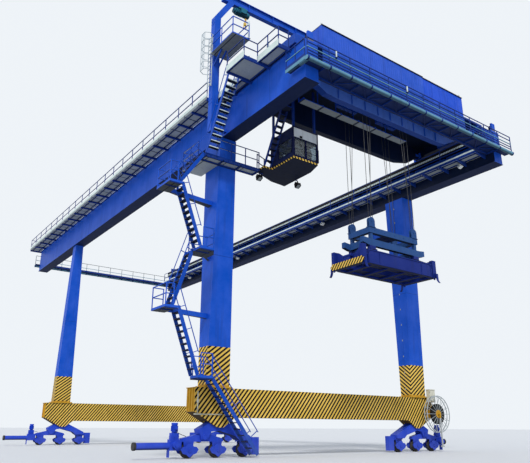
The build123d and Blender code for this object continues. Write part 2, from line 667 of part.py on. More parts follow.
def stair_landings():
    """The four stair landings with their railings and the struts that tie them to the leg."""
    near, split, back = lane_edges()
    rim = 15
    pieces = []
    for number, (level, outer, inner) in enumerate(landing_spans()):
        corners = [(outer[0], near), (outer[1], near), (inner[1], split), (inner[1], back), (inner[0], back),
                   (outer[0], split)]
        pieces.append(plate_xy(corners, level - LANDING_PLATE, level))
        first = number == 0
        if number % 2:
            path = [(outer[1] - 140, near + rim), (outer[0] + rim, near + rim), (outer[0] + rim, back - rim),
                    (inner[1] - 60, back - rim)]
        else:
            path = [(outer[0] + 75, near + rim), (outer[1] - rim, near + rim), (inner[1] - rim, split - rim)]
            path += [] if first else [(inner[1] - rim, back - rim), (inner[0] + 60, back - rim)]
        pieces += railing([(x, y, level) for x, y in path], pitch=800)
        if first:
            path = [(inner[1] - 60, back - rim), (inner[0] + rim, back - rim), (outer[0] + 75, split + rim)]
            pieces += railing([(x, y, level) for x, y in path], pitch=800)
        low = level - 20
        hold = leg_side(low) - 2
        for shift in (0, 200) if number == 3 else (0,):
            start, arrive = inner[1] - 110 - shift, NEAR_RAIL + shift / 2
            tie = [(start - 35, back - 5), (start + 35, back - 5), (hold, arrive - 100), (hold, arrive + 30)]
            pieces.append(plate_xy(tie, low, low + STRUT_TALL))
    return joined(pieces)


def top_platform():
    """The platform round the outside of the near left leg, level with the cab floor."""
    leg_near = NEAR_RAIL - RIGID_HEAD_Y / 2
    inner = -LEG_X - LEG_HEAD_X / 2
    z = TOP_DECK
    outline = [(TOP_DECK_LEFT, TOP_DECK_NEAR), (TOP_DECK_RIGHT, TOP_DECK_NEAR), (TOP_DECK_RIGHT, leg_near + 20),
               (inner - 20, leg_near + 20), (inner - 20, TOP_DECK_BACK), (TOP_DECK_LEFT, TOP_DECK_BACK)]
    pieces = [plate_xy(outline, z - 70, z)]
    clear = TOP_DECK_LEFT + STAIR_WIDTH + 25
    near = TOP_DECK_NEAR + 15
    pieces += railing([(clear, near, z), (TOP_DECK_RIGHT - 15, near, z)], pitch=600)
    left = TOP_DECK_LEFT + 15
    pieces += railing([(left, STAIR_INNER + STAIR_WIDTH / 2 + 30, z), (left, TOP_DECK_BACK - 15, z),
                       (inner - 40, TOP_DECK_BACK - 15, z)], pitch=600)
    return joined(pieces)


# Service portal

def service_portal():
    """Two masts with bent heads outside the girders and the hoist beam between them."""
    half = MAST_SIDE / 2
    bend = BEAM_LEVEL - GOOSENECK
    pieces = []
    for side, foot in ((-1, MAST_FOOT_LEFT), (1, MAST_FOOT_RIGHT)):
        x = side * MAST_X
        pieces.append(block((x - half, x + half), (MAST_Y - half, MAST_Y + half), (foot, bend)))
        inward = -side
        head = [(x - half, bend), (x + half, bend), (x + inward * 500 + half, BEAM_LEVEL),
                (x + inward * 500 - half, BEAM_LEVEL)]
        pieces.append(plate_xz(head, MAST_Y - half, MAST_Y + half))
        for level in (foot + 180, GIRDER_TOP - 215):
            pieces.append(block(sorted((x, side * GIRDER_WEB)), (MAST_Y - 60, MAST_Y + 60), (level - 40, level + 40)))
    reach = MAST_X - 200
    web = 12
    low, high = BEAM_LEVEL, BEAM_LEVEL + BEAM_TALL
    for level in (low, high - BEAM_PLATE):
        pieces.append(block((-reach, reach), (MAST_Y - BEAM_WIDE / 2, MAST_Y + BEAM_WIDE / 2),
                            (level, level + BEAM_PLATE)))
    pieces.append(block((-reach, reach), (MAST_Y - web, MAST_Y + web), (low, high)))
    for x in steps(-reach + 10, reach - 10, 1000):
        pieces.append(block((x - 6, x + 6), (MAST_Y - BEAM_WIDE / 2, MAST_Y + BEAM_WIDE / 2), (low, high)))
    return joined(pieces)


def service_hoist():
    """The chain hoist on the portal's beam, with its hook block hanging."""
    x = SERVICE_HOIST_X
    low = BEAM_LEVEL
    pieces = [block((x - 160, x + 160), (MAST_Y - 110, MAST_Y + 110), (low - 60, low))]
    pieces.append(rod((x - 260, MAST_Y, low - 160), (x + 200, MAST_Y, low - 160), 105))
    pieces.append(rod((x + 130, MAST_Y, low - 160), (x + 130, MAST_Y, low - 470), 9))
    pieces.append(block((x + 90, x + 170), (MAST_Y - 25, MAST_Y + 25), (low - 560, low - 460)))
    hook = Pos(x + 130, MAST_Y, low - 620) * Rot(90, 0, 0) * Torus(52, 14)
    pieces.append(hook)
    return joined(pieces)


def service_perch():
    """The small railed platform that reaches out from the mast, on two short braces."""
    z = PERCH_LEVEL
    left, right = -MAST_X - 235, -MAST_X + 360
    near, back = MAST_Y - PERCH_LONG, MAST_Y - MAST_SIDE / 2
    pieces = [block((left, right), (near, back), (z - 40, z))]
    pieces += railing([(left + 15, back - 15, z), (left + 15, near + 15, z), (right - 15, near + 15, z),
                       (right - 15, back - 15, z)], pitch=700)
    for x in (-MAST_X - 80, -MAST_X + 80):
        pieces.append(bar((x, back - 420, z - 40), (x, back + 5, z - 380), 40, 40))
    return joined(pieces)


def caged_ladder():
    """The ladder with safety hoops outside the mast."""
    x = -MAST_X - MAST_SIDE / 2 - 130
    low, high = GIRDER_TOP + 250, PERCH_LEVEL + 700
    pieces = []
    for side in (-110, 110):
        pieces.append(block((x + 60, x + 80), (MAST_Y + side - 10, MAST_Y + side + 10), (low, high)))
    for z in steps(low + 60, high - 60, 150):
        pieces.append(block((x + 62, x + 78), (MAST_Y - 110, MAST_Y + 110), (z - 7, z + 7)))
    hoops = steps(low + 510, high - 20, 320)
    for z in hoops:
        hoop = [(x + 70, MAST_Y - 118), (x + 70, MAST_Y - 106), (x - 60, MAST_Y - 165), (x - 190, MAST_Y - 90),
                (x - 190, MAST_Y + 90), (x - 60, MAST_Y + 165), (x + 70, MAST_Y + 106), (x + 70, MAST_Y + 118),
                (x - 64, MAST_Y + 179), (x - 204, MAST_Y + 96), (x - 204, MAST_Y - 96), (x - 64, MAST_Y - 179)]
        pieces.append(plate_xy(hoop, z - 8, z + 8))
    for y in (-90, 0, 90):
        pieces.append(block((x - 206, x - 190), (MAST_Y + y - 8, MAST_Y + y + 8), (hoops[0], hoops[-1])))
    for z in (low + 120, high - 200):
        pieces.append(block((x + 70, x + 130), (MAST_Y - 30, MAST_Y + 30), (z - 20, z + 20)))
    return joined(pieces)


# Cable reel

def reel_drum():
    """The narrow spoked cable reel, turning about Y on its shaft."""
    half = REEL_WIDE / 2
    pieces = [Cylinder(REEL_HUB, REEL_WIDE) - Cylinder(REEL_SHAFT + 6, REEL_WIDE)]
    rim_wide = 16
    between = REEL_WIDE - 2 * rim_wide - 8
    pieces.append(Cylinder(REEL_PACK, between) - Cylinder(REEL_HUB - 5, between))
    for side in (-1, 1):
        face = side * (half - rim_wide / 2)
        rim = Cylinder(REEL_RADIUS, rim_wide) - Cylinder(REEL_RADIUS - 25, rim_wide)
        pieces.append(Pos(0, 0, face) * rim)
        for i in range(REEL_SPOKES):
            turn = Rot(0, 0, 360 * i / REEL_SPOKES)
            pieces.append(Pos(0, 0, face) * turn * Pos((REEL_RADIUS + REEL_HUB) / 2 - 15, 0, 0)
                          * Box(REEL_RADIUS - REEL_HUB + 10, REEL_SPOKE, REEL_SPOKE))
    return Pos(REEL_X, REEL_Y, REEL_Z) * Rot(90, 0, 0) * joined(pieces)


def reel_stand():
    """The reel's bracket and gearbox on the sill, its fixed shaft, cable guide and power cabinet."""
    face = NEAR_RAIL - SILL_WIDTH / 2
    pieces = [block((REEL_X - 170, REEL_X + 50), (REEL_Y + REEL_WIDE / 2 + 40, face), (REEL_Z - 130, REEL_Z + 130))]
    front = REEL_Y - REEL_WIDE / 2 - 70
    pieces.append(rod((REEL_X, face - 20, REEL_Z), (REEL_X, front, REEL_Z), REEL_SHAFT))
    pieces.append(block((REEL_X - 22, REEL_X + 22), (front, front + 30), (180, REEL_Z + 30)))
    pieces.append(block((REEL_X - 60, REEL_X + 60), (front - 15, front + 45), (150, 200)))
    low = SILL_TOP - 145
    pieces.append(block((LEG_X + 340, LEG_X + 620), (face - 215, face - 75), (low, low + 400)))
    pieces.append(block((LEG_X + 400, LEG_X + 560), (face - 75, face), (low - 40, low + 100)))
    return joined(pieces)


# Trolley

def fish_belly(y, belly):
    """A trolley cross beam whose belly rises to pass over the girders at both ends."""
    end = LEG_X - CARRIAGE_WIDE / 2
    shape = [(end, FLOOR_BOTTOM), (end, GIRDER_TOP + 240), (LEG_X - 700, GIRDER_TOP - 130),
             (LEG_X - 1400, belly + 30), (LEG_X - 1800, belly)]
    outline = shape + [(-x, z) for x, z in reversed(shape)]
    return plate_xz(outline, y - BEAM_THICK / 2, y + BEAM_THICK / 2)


def trolley_frame():
    """The trolley's end carriages, cross beams, floor, front apron and the catwalk hung between the beams."""
    low, high = HOIST_Y + CARRIAGE_NEAR, HOIST_Y + CARRIAGE_FAR
    axle = CRANE_RAIL_TOP + RAIL_GAP + TROLLEY_WHEEL
    pieces = []
    for side in (-1, 1):
        x = side * LEG_X
        pieces.append(block((x - CARRIAGE_WIDE / 2, x + CARRIAGE_WIDE / 2), (low, high), (axle + 10, FLOOR_BOTTOM)))
        for y in (low + 260, high - 260):
            disc = Cylinder(TROLLEY_WHEEL, TROLLEY_WHEEL_WIDE)
            pieces.append(Pos(x, y, axle) * Rot(0, 90, 0) * disc)
    pieces.append(fish_belly(HOIST_Y + FRONT_BEAM_Y, FRONT_BELLY))
    pieces.append(fish_belly(HOIST_Y + REAR_BEAM_Y, REAR_BELLY))
    face, straight = HOIST_Y + FRONT_BEAM_Y - BEAM_THICK / 2, LEG_X - 1850
    for x in steps(-straight, straight, 540):
        pieces.append(block((x - 6, x + 6), (face - BEAM_RIB, face), (FRONT_BELLY + 15, FLOOR_BOTTOM)))
    end = LEG_X + CARRIAGE_WIDE / 2
    pieces.append(block((-end, end), (low, high), (FLOOR_BOTTOM, FLOOR_TOP)))
    pieces.append(block((-HOUSE_HALF, HOUSE_HALF), (low, low + APRON), (GIRDER_TOP + 5, FLOOR_BOTTOM)))
    near, back = HOIST_Y + 45, HOIST_Y + 295
    for i in range(6):
        left = 270 - HOUSE_HALF + i * CATWALK_BAY
        pieces.append(block((left + 15, left + CATWALK_BAY - 15), (near, back), (CATWALK_LEVEL, CATWALK_LEVEL + 25)))
        pieces.append(block((left - 15, left + 15), (near, back), (CATWALK_LEVEL, CATWALK_LEVEL + 60)))
        pieces.append(block((left - 12, left + 12), (back - 24, back), (CATWALK_LEVEL, FLOOR_BOTTOM)))
    return joined(pieces)


def house(low, high, tall):
    """A closed, ridgeless plant housing with a roof edge trim."""
    top = FLOOR_TOP + tall
    near, back = HOIST_Y + HOUSE_NEAR, HOIST_Y + HOUSE_FAR
    body = block((low, high), (near, back), (FLOOR_TOP, top - EAVES))
    roof = block((low, high), (near - EAVES, back + EAVES), (top - EAVES, top))
    return body + roof


def trolley_gallery():
    """The railing round the trolley floor behind the houses."""
    z = FLOOR_TOP
    side = LEG_X + CARRIAGE_WIDE / 2 - 15
    front, back = HOIST_Y + HOUSE_FAR + EAVES + 20, HOIST_Y + CARRIAGE_FAR - 15
    return joined(railing([(-side, front, z), (-side, back, z), (side, back, z), (side, front, z)], pitch=1400))


# Driver's cab

def cab_windows():
    """Window openings of the cab as (x, y, z) spans: near, left, right and far walls."""
    low, high = CAB_FLOOR + CAB_SILL, CAB_TOP - CAB_FASCIA
    mid = (CAB_LEFT + CAB_RIGHT) / 2
    near, far = (CAB_NEAR, CAB_NEAR + CAB_WALL), (CAB_FAR - CAB_WALL, CAB_FAR)
    left, right = (CAB_LEFT, CAB_LEFT + CAB_WALL), (CAB_RIGHT - CAB_WALL, CAB_RIGHT)
    spans = []
    for x in ((CAB_LEFT + 45, mid - 15), (mid + 15, CAB_RIGHT - 45)):
        spans.append((x, near, (low, high)))
    for x in (left, right):
        spans.append((x, (CAB_NEAR + 60, CAB_NEAR + 700), (low + 100, high)))
    spans.append(((CAB_LEFT + 480, CAB_RIGHT - 60), far, (low + 300, high)))
    return spans


def cab_shell():
    """The hollow cab: floor, walls, roof, window openings, and the closed door on the far wall."""
    outer = block((CAB_LEFT, CAB_RIGHT), (CAB_NEAR, CAB_FAR), (CAB_FLOOR, CAB_TOP))
    room = block((CAB_LEFT + CAB_WALL, CAB_RIGHT - CAB_WALL), (CAB_NEAR + CAB_WALL, CAB_FAR - CAB_WALL),
                 (CAB_FLOOR + CAB_WALL, CAB_TOP - CAB_WALL))
    shell = outer - room
    for spans in cab_windows():
        shell -= block(*spans)
    door = block((CAB_LEFT + 70, CAB_LEFT + 420), (CAB_FAR, CAB_FAR + 10), (CAB_FLOOR + CAB_SILL, CAB_TOP - 50))
    lever = block((CAB_LEFT + 370, CAB_LEFT + 400), (CAB_FAR + 10, CAB_FAR + 35), (CAB_FLOOR + 430, CAB_FLOOR + 445))
    return shell + door + lever


def cab_glass():
    """The window panes, each seated in the middle of its opening."""
    panes = []
    for spans in cab_windows():
        thin = []
        for low, high in spans:
            slim = high - low <= CAB_WALL
            thin.append(((low + high) / 2 - 4, (low + high) / 2 + 4) if slim else (low, high))
        panes.append(block(*thin))
    return panes


def cab_seat():
    """The driver's seat and its two consoles."""
    x, y = (CAB_LEFT + CAB_RIGHT) / 2, CAB_NEAR + 560
    z = CAB_FLOOR + CAB_WALL
    pieces = [rod((x, y, z), (x, y, z + 160), 45)]
    pieces.append(block((x - 120, x + 120), (y - 120, y + 130), (z + 160, z + 230)))
    pieces.append(block((x - 110, x + 110), (y + 100, y + 160), (z + 230, z + 560)))
    for side in (-1, 1):
        pieces.append(block(sorted((x + side * 120, x + side * 220)), (y - 170, y + 90), (z + 200, z + 330)))
    return joined(pieces)


def floodlight(x, y, deck, arm_x):
    """A floodlight under the cab's deck, on an arm that starts at another X."""
    low = deck - CAB_DECK
    arm = block(sorted((x - 12, arm_x + 12)), (y - 12, y + 12), (low - 24, low))
    hanger = block((x - 12, x + 12), (y - 12, y + 12), (low - 100, low - 20))
    lens = [(y - LAMP, low - 190), (y + 50, low - 250), (y + LAMP, low - 110), (y - 50, low - 90)]
    return [arm, hanger, plate_yz(lens, x - LAMP, x + LAMP)]


def cab_access():
    """The cab's floor deck, hangers, railing, floodlights and the stair that climbs to the trolley floor."""
    z = CAB_FLOOR
    wing, right = CAB_LEFT - CAB_WING, CAB_RIGHT + 150
    back = CAB_FAR + 660
    outline = [(wing, CAB_FAR + 350), (wing, CAB_FAR - 60), (CAB_LEFT + 15, CAB_FAR - 60), (CAB_LEFT + 15, CAB_NEAR),
               (CAB_RIGHT, CAB_NEAR), (right, CAB_FAR - 600), (right, back + 50), (CAB_LEFT + 495, back)]
    pieces = [plate_xy(outline, z - CAB_DECK, z)]
    pieces += railing([(CAB_LEFT + 505, back - 15, z), (right - 15, back + 32, z), (right - 15, CAB_FAR - 590, z)],
                      pitch=700)
    pieces += railing([(wing + 15, CAB_FAR + 335, z), (CAB_LEFT + 480, back - 22, z)], pitch=700)
    for x in (CAB_LEFT + 60, CAB_RIGHT - 60):
        for y in (CAB_NEAR + 60, CAB_FAR - 60):
            pieces.append(block((x - 30, x + 30), (y - 30, y + 30), (CAB_TOP + 1, FLOOR_BOTTOM - 1)))
    pieces += floodlight(CAB_LEFT - 180, CAB_FAR + 340, z, CAB_LEFT - 60)
    pieces += floodlight(CAB_RIGHT + 200, CAB_FAR + 100, z, CAB_RIGHT + 100)
    foot, head = CAB_FAR - 30, CAB_FAR - 30 - (CAB_STAIR_TOP - z) / CAB_STAIR_SLOPE
    x = CAB_LEFT - 30 - CAB_STAIR_WIDTH / 2
    low, high = x - CAB_STAIR_WIDTH / 2, x + CAB_STAIR_WIDTH / 2
    pieces.append(flight((foot, z), (head, CAB_STAIR_TOP), x, along="y", wide=CAB_STAIR_WIDTH, rails=False))
    pieces.append(block((low, high), (head - 260, head + 10), (CAB_STAIR_TOP - 30, CAB_STAIR_TOP)))
    for side in (low + 12, high - 12):
        pieces.append(block((side - 12, side + 12), (head - 250, head - 226), (CAB_STAIR_TOP, FLOOR_BOTTOM - 1)))
    return joined(pieces)


# Headblock, spreader and ropes

def ring_frame(half_x, half_y, low, depth, wide):
    """A rectangular frame of four box members about the hoist's centre line."""
    outer = block((-half_x, half_x), (HOIST_Y - half_y, HOIST_Y + half_y), (low, low + depth))
    return outer - block((wide - half_x, half_x - wide), (HOIST_Y - half_y + wide, HOIST_Y + half_y - wide),
                         (low, low + depth))


def towers():
    """Centres of the headblock's four sheave towers."""
    return [(i * (HEAD_HALF_X - TOWER_WIDE / 2), HOIST_Y + j * (HEAD_HALF_Y - 50)) for i in (-1, 1) for j in (-1, 1)]


def headblock():
    """The rope-hung head frame with a round-topped sheave housing at each corner."""
    pieces = [ring_frame(HEAD_HALF_X, HEAD_HALF_Y, HEAD_LEVEL, HEAD_DEPTH, 130)]
    low, middle = HEAD_LEVEL + HEAD_DEPTH, TOWER_TOP - TOWER_WIDE / 2
    for x, y in towers():
        for side in (-1, 1):
            cheek = block((x - TOWER_WIDE / 2, x + TOWER_WIDE / 2), (y + side * 38 - 8, y + side * 38 + 8),
                          (low, middle))
            crown = Pos(x, y + side * 38, middle) * Rot(90, 0, 0) * Cylinder(TOWER_WIDE / 2, 16)
            pieces += [cheek, crown]
        pieces.append(rod((x, y - 55, middle), (x, y + 55, middle), 30))
        pieces.append(rod((x, y - 18, middle), (x, y + 18, middle), TOWER_WIDE / 2 - 22))
    for x in (-HEAD_HALF_X + 90, HEAD_HALF_X - 90):
        for y in (HOIST_Y - HEAD_HALF_Y + 65, HOIST_Y + HEAD_HALF_Y - 65):
            pieces.append(block((x - 45, x + 45), (y - 45, y + 45), (YOKE_LEVEL + YOKE_DEPTH, HEAD_LEVEL)))
    return joined(pieces)


def yoke():
    """The spreader's upper frame, which the headblock locks on to."""
    pieces = [ring_frame(YOKE_HALF_X - YOKE_WEDGE, HEAD_HALF_Y, YOKE_LEVEL, YOKE_DEPTH, 120)]
    for side in (-1, 1):
        for turn in (-1, 1):
            y = HOIST_Y + turn * (HEAD_HALF_Y - 60)
            x = side * (YOKE_HALF_X - YOKE_WEDGE)
            tip = side * YOKE_HALF_X
            nose = [(x, YOKE_LEVEL + YOKE_DEPTH), (x, YOKE_LEVEL), (tip, YOKE_LEVEL + 52), (tip, YOKE_LEVEL + 212)]
            pieces.append(plate_xz(nose, y - 60, y + 60))
    for x in (-900, 900):
        for turn in (-1, 1):
            y = HOIST_Y + turn * (HEAD_HALF_Y - 60)
            pieces.append(block((x - 110, x + 110), (y - 60, y + 60), (SPREADER_BOTTOM + SPREADER_DEPTH, YOKE_LEVEL)))
    return joined(pieces)


def spreader_frame():
    """The spreader's main frame: side beams, and the cross ties above and below the sliding arms."""
    top = SPREADER_BOTTOM + SPREADER_DEPTH
    pieces = []
    for side in (-1, 1):
        low, high = sorted((side * SPREADER_HALF_Y, side * (SPREADER_HALF_Y - SIDE_BEAM)))
        shape = [(-SIDE_HALF, SPREADER_BOTTOM), (SIDE_HALF, SPREADER_BOTTOM), (SIDE_HALF, top - 150),
                 (SIDE_HALF - 170, top), (170 - SIDE_HALF, top), (-SIDE_HALF, top - 150)]
        pieces.append(plate_xz(shape, HOIST_Y + low, HOIST_Y + high))
    inner = SPREADER_HALF_Y - SIDE_BEAM
    for x in (-1000, -350, 350, 1000):
        pieces.append(block((x - 60, x + 60), (HOIST_Y - inner, HOIST_Y + inner), (top - 60, top)))
        pieces.append(block((x - 60, x + 60), (HOIST_Y - inner, HOIST_Y + inner),
                            (SPREADER_BOTTOM, SPREADER_BOTTOM + CROSS_TIE)))
    return joined(pieces)


def spreader_arm(side):
    """A telescopic arm: two sliding beams, the end beam with its corner posts, flipper hinges and twistlocks."""
    lane = LANE_OUT if side < 0 else LANE_IN
    face = SPREADER_HALF_X - END_BEAM
    top = SPREADER_BOTTOM + END_TALL
    ends = sorted((side * face, side * SPREADER_HALF_X))
    raised = sorted((side * face, side * (face + UPSTAND)))
    whole = (HOIST_Y - SPREADER_HALF_Y, HOIST_Y + SPREADER_HALF_Y)
    pieces = [block(ends, whole, (SPREADER_BOTTOM, top)), block(raised, whole, (top, top + UPSTAND_TALL))]
    lock_x = side * TWISTLOCK_X / 2
    for turn in (-1, 1):
        y = HOIST_Y + turn * lane
        span = sorted((side * face, -side * ARM_TAIL))
        pieces.append(block(span, (y - SLIDE_WIDE / 2, y + SLIDE_WIDE / 2), (SLIDE_LOW, SLIDE_LOW + SLIDE_TALL)))
        lock_y = HOIST_Y + turn * TWISTLOCK_Y / 2
        pieces.append(rod((lock_x, lock_y, SPREADER_BOTTOM), (lock_x, lock_y, SPREADER_BOTTOM - TWISTLOCK_LONG),
                          TWISTLOCK_RADIUS))
        inner = SPREADER_HALF_Y - CORNER_POST
        posts = sorted((HOIST_Y + turn * inner, HOIST_Y + turn * SPREADER_HALF_Y))
        pieces.append(block(ends, posts, (top, top + CORNER_TALL)))
        brace = [(inner, top), (inner, top + CORNER_TALL - 20), (inner - 60, top + CORNER_TALL - 20),
                 (200, top + UPSTAND_TALL + 10), (200, top)]
        pieces.append(plate_yz([(HOIST_Y + turn * a, z) for a, z in brace], *raised))
        pivot_y = HOIST_Y + turn * (SPREADER_HALF_Y + FLIPPER_OUT)
        low, high = sorted((HOIST_Y + turn * (SPREADER_HALF_Y - 10), pivot_y))
        for x in (lock_x - FLIPPER_WIDE / 2 - 16, lock_x + FLIPPER_WIDE / 2 + 6):
            pieces.append(block((x, x + 10), (low, high), (FLIPPER_PIVOT - 40, FLIPPER_PIVOT + 40)))
        pieces.append(rod((lock_x - FLIPPER_WIDE / 2 - 16, pivot_y, FLIPPER_PIVOT),
                          (lock_x + FLIPPER_WIDE / 2 + 16, pivot_y, FLIPPER_PIVOT), FLIPPER_BORE))
    pieces.append(block(ends, (HOIST_Y - 110, HOIST_Y + 110), (top, top + 90)))
    pieces.append(rod((lock_x, HOIST_Y - 160, top + 130), (lock_x, HOIST_Y + 160, top + 130), 45))
    return joined(pieces)


def flipper(side, turn):
    """A gathering guide that hinges about X outside the end beam's corner."""
    x = side * TWISTLOCK_X / 2
    y = HOIST_Y + turn * (SPREADER_HALF_Y + FLIPPER_OUT)
    z = FLIPPER_PIVOT
    points = [(-22, 28), (22, 28), (24, -40), (28, -150), (52, -210), (85, -FLIPPER_LONG), (72, -FLIPPER_LONG - 7),
              (36, -218), (4, -154), (-22, -40)]
    outline = [(y + turn * a, z + b) for a, b in points]
    plate = plate_yz(outline, x - FLIPPER_WIDE / 2, x + FLIPPER_WIDE / 2)
    return plate - rod((x - 100, y, z), (x + 100, y, z), FLIPPER_BORE + 0.3)


def hoist_ropes():
    """The rope falls from the trolley down to the four sheave towers."""
    falls = []
    gap = 1
    low = TOWER_TOP + gap
    for x, y in towers():
        for offset, lean in ((-80, 0), (80, 0), (0, 260)):
            top_x = x + offset + (lean if x < 0 else -lean)
            falls.append(bar((x + offset, y, low + gap), (top_x, y, ROPE_TOP - 2 * gap), ROPE, ROPE))
    return falls


def rope_blocks():
    """The sheave blocks under the trolley floor that the rope falls run up into."""
    blocks = []
    for x, y in towers():
        blocks.append(block((x - 420, x + 420), (y - 60, y + 60), (ROPE_TOP, FLOOR_BOTTOM)))
    return blocks


def build():
    nodes = {}
    nodes["girder_left"] = girder(-1)
    nodes["girder_right"] = girder(1)
    nodes["end_tie_near"] = [end_tie(True) + tie_cabinet(), side_return()]
    nodes["end_tie_far"] = end_tie(False)
    nodes["walkway_left"] = left_walkway()
    nodes["railing_left"] = left_railing()
    nodes["walkway_right"] = right_walkway()
    nodes["cable_tray"] = cable_tray()
    corners = (("near_left", True, True), ("near_right", False, True), ("far_left", True, False),
               ("far_right", False, False))
    trucks, equalizer_shape = {True: truck(BUFFER_REACH), False: truck(BUFFER_SHORT)}, equalizer()
    wheels = {"outer": TRUCK_MIDDLE - TRUCK_WHEELBASE / 2, "middle": TRUCK_MIDDLE + TRUCK_WHEELBASE / 2,
              "inner": SINGLE_WHEEL}
    for name, left, near in corners:
        foot, head = ((LEG_FOOT_X, RIGID_FOOT_Y), (LEG_HEAD_X, RIGID_HEAD_Y)) if near else \
            ((LEG_FOOT_X, SLIM_Y), (SLIM_HEAD_X, SLIM_Y))
        nodes[f"leg_{name}"] = leg(-LEG_X if left else LEG_X, NEAR_RAIL if near else -NEAR_RAIL, foot, head)
        nodes[f"bogie_{name}"] = [corner(trucks[left], left, near), corner(equalizer_shape, left, near)]
        for place, x in wheels.items():
            nodes[f"wheel_{name}_{place}"] = corner(wheel(x), left, near)
    nodes["sill_near"] = sill(NEAR_RAIL)
    nodes["sill_far"] = sill(-NEAR_RAIL)
    nodes.update(stair_flights())
    nodes["stair_landings"] = stair_landings()
    nodes["top_platform"] = top_platform()
    nodes["service_portal"] = joined([service_portal(), service_perch(), caged_ladder()])
    nodes["service_hoist"] = service_hoist()
    nodes["reel_drum"] = reel_drum()
    nodes["reel_stand"] = reel_stand()
    nodes["trolley_frame"] = joined([trolley_frame()] + rope_blocks())
    nodes["machine_house"] = house(-HOUSE_HALF, HOUSE_SPLIT, HOUSE_TALL)
    nodes["electrical_house"] = house(HOUSE_SPLIT, HOUSE_HALF, ELECTRICAL_TALL)
    nodes["trolley_gallery"] = trolley_gallery()
    nodes["cab_shell"] = [cab_shell(), cab_seat()]
    nodes["cab_glass"] = cab_glass()
    nodes["cab_access"] = cab_access()
    nodes["hoist_ropes"] = hoist_ropes()
    nodes["headblock"] = headblock()
    nodes["spreader_frame"] = joined([yoke(), spreader_frame()])
    for name, side in (("left", -1), ("right", 1)):
        nodes[f"spreader_arm_{name}"] = spreader_arm(side)
        for end, turn in (("near", -1), ("far", 1)):
            nodes[f"flipper_{end}_{name}"] = flipper(side, turn)
    return nodes


def save(nodes):
    """One STEP file for each named piece."""
    os.makedirs(PARTS, exist_ok=True)
    for name, shape in nodes.items():
        solids = [solid for piece in (shape if isinstance(shape, list) else [shape]) for solid in piece.solids()]
        export_step(Compound(children=solids), f"{PARTS}/{name}.step")


if __name__ == "__main__":
    save(build())
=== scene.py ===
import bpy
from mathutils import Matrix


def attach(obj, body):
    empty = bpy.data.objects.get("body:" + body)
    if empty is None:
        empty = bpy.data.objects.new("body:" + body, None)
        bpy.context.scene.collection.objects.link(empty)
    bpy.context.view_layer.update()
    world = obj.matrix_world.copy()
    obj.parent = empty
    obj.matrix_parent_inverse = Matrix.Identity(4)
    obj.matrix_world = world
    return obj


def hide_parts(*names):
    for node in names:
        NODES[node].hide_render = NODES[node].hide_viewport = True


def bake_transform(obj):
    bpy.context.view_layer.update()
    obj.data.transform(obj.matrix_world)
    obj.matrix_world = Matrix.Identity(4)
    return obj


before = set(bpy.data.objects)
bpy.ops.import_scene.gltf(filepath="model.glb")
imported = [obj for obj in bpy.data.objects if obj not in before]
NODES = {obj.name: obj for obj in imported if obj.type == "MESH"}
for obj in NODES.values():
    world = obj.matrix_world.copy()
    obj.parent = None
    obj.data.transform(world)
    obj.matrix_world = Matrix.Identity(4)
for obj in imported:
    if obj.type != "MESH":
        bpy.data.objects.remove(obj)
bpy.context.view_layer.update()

from functools import partial, partialmethod
import math

import bmesh
import bpy
from bpy.props import FloatProperty, FloatVectorProperty, PointerProperty
from mathutils import Matrix, Vector

bl_info = {
    "name": "Gantry crane",
    "version": (2, 0, 0),
    "blender": (4, 5, 0),
    "location": "3D View > Sidebar > Crane",
    "description": "Finishes and fittings of a rail-mounted gantry crane",
    "category": "Object",
}


# Settings that a user would change

def coat(name, description, *value):
    """A paint colour for the settings panel, in linear values."""
    return FloatVectorProperty(name=name, description=description, subtype="COLOR", size=3, min=0, max=1,
                               default=value)


class CranePaints(bpy.types.PropertyGroup):
    """Colours of the crane's paints and bare metals."""
    structure: coat("Structure", "Blue of legs, girders and stairs", 0.012, 0.089, 0.55)
    running: coat("Travelling gear", "Fresher blue of the bogies", 0.008, 0.058, 0.58)
    rail: coat("Railings", "Darker blue of railings and brackets", 0.008, 0.036, 0.22)
    # The dark paint is painted shade on the girders' lower inner faces, the trolley's rear beam and the stairs'
    # undersides; it also colours the dark joints of gratings.
    dark: coat("Shaded blue", "Nearly black blue of the trolley's inner beams", 0.004, 0.010, 0.035)
    house: coat("Machine house", "Blue of the ribbed machine house cladding", 0.030, 0.108, 0.60)
    cabinet: coat("Electrical house", "Blue of the newer electrical house", 0.012, 0.082, 0.62)
    trim: coat("Roof trim", "Navy of roof edges and door frames", 0.003, 0.006, 0.045)
    pale: coat("Pale trim", "Greenish white of toe boards and rails", 0.66, 0.76, 0.72)
    tube: coat("End tube", "Pale teal of the end walkways' tubes", 0.13, 0.30, 0.42)
    yellow: coat("Warning yellow", "Yellow of the hazard stripes", 0.86, 0.56, 0.10)
    amber: coat("Amber", "Plain yellow of sill ends, collars and hooks", 0.60, 0.33, 0.03)
    black: coat("Warning black", "Black of the hazard stripes", 0.006, 0.005, 0.006)
    zinc: coat("Zinc", "Galvanised gratings, treads and conduits", 0.34, 0.38, 0.39)
    steel: coat("Bare steel", "Crane rails, clips, bolts and pins", 0.16, 0.15, 0.14)
    rope: coat("Wire rope", "Greased steel rope", 0.10, 0.10, 0.10)
    spreader: coat("Spreader", "Blue of the spreader", 0.008, 0.023, 0.19)
    headblock: coat("Headblock", "Teal blue of headblock and upper frame", 0.022, 0.075, 0.23)
    teal: coat("Service hoist", "Teal of the service hoist", 0.018, 0.15, 0.22)
    cab: coat("Cab white", "Off-white of the cab's fascia", 0.62, 0.66, 0.68)
    glass: coat("Glass", "Tint of the cab's panes", 0.42, 0.50, 0.55)
    cream: coat("Cream", "Cream of reel and power cabinets", 0.68, 0.66, 0.54)
    rubber: coat("Rubber", "Black of buffers, chain and cables", 0.012, 0.012, 0.014)
    wheel: coat("Wheels", "Worn iron of wheels", 0.030, 0.028, 0.027)


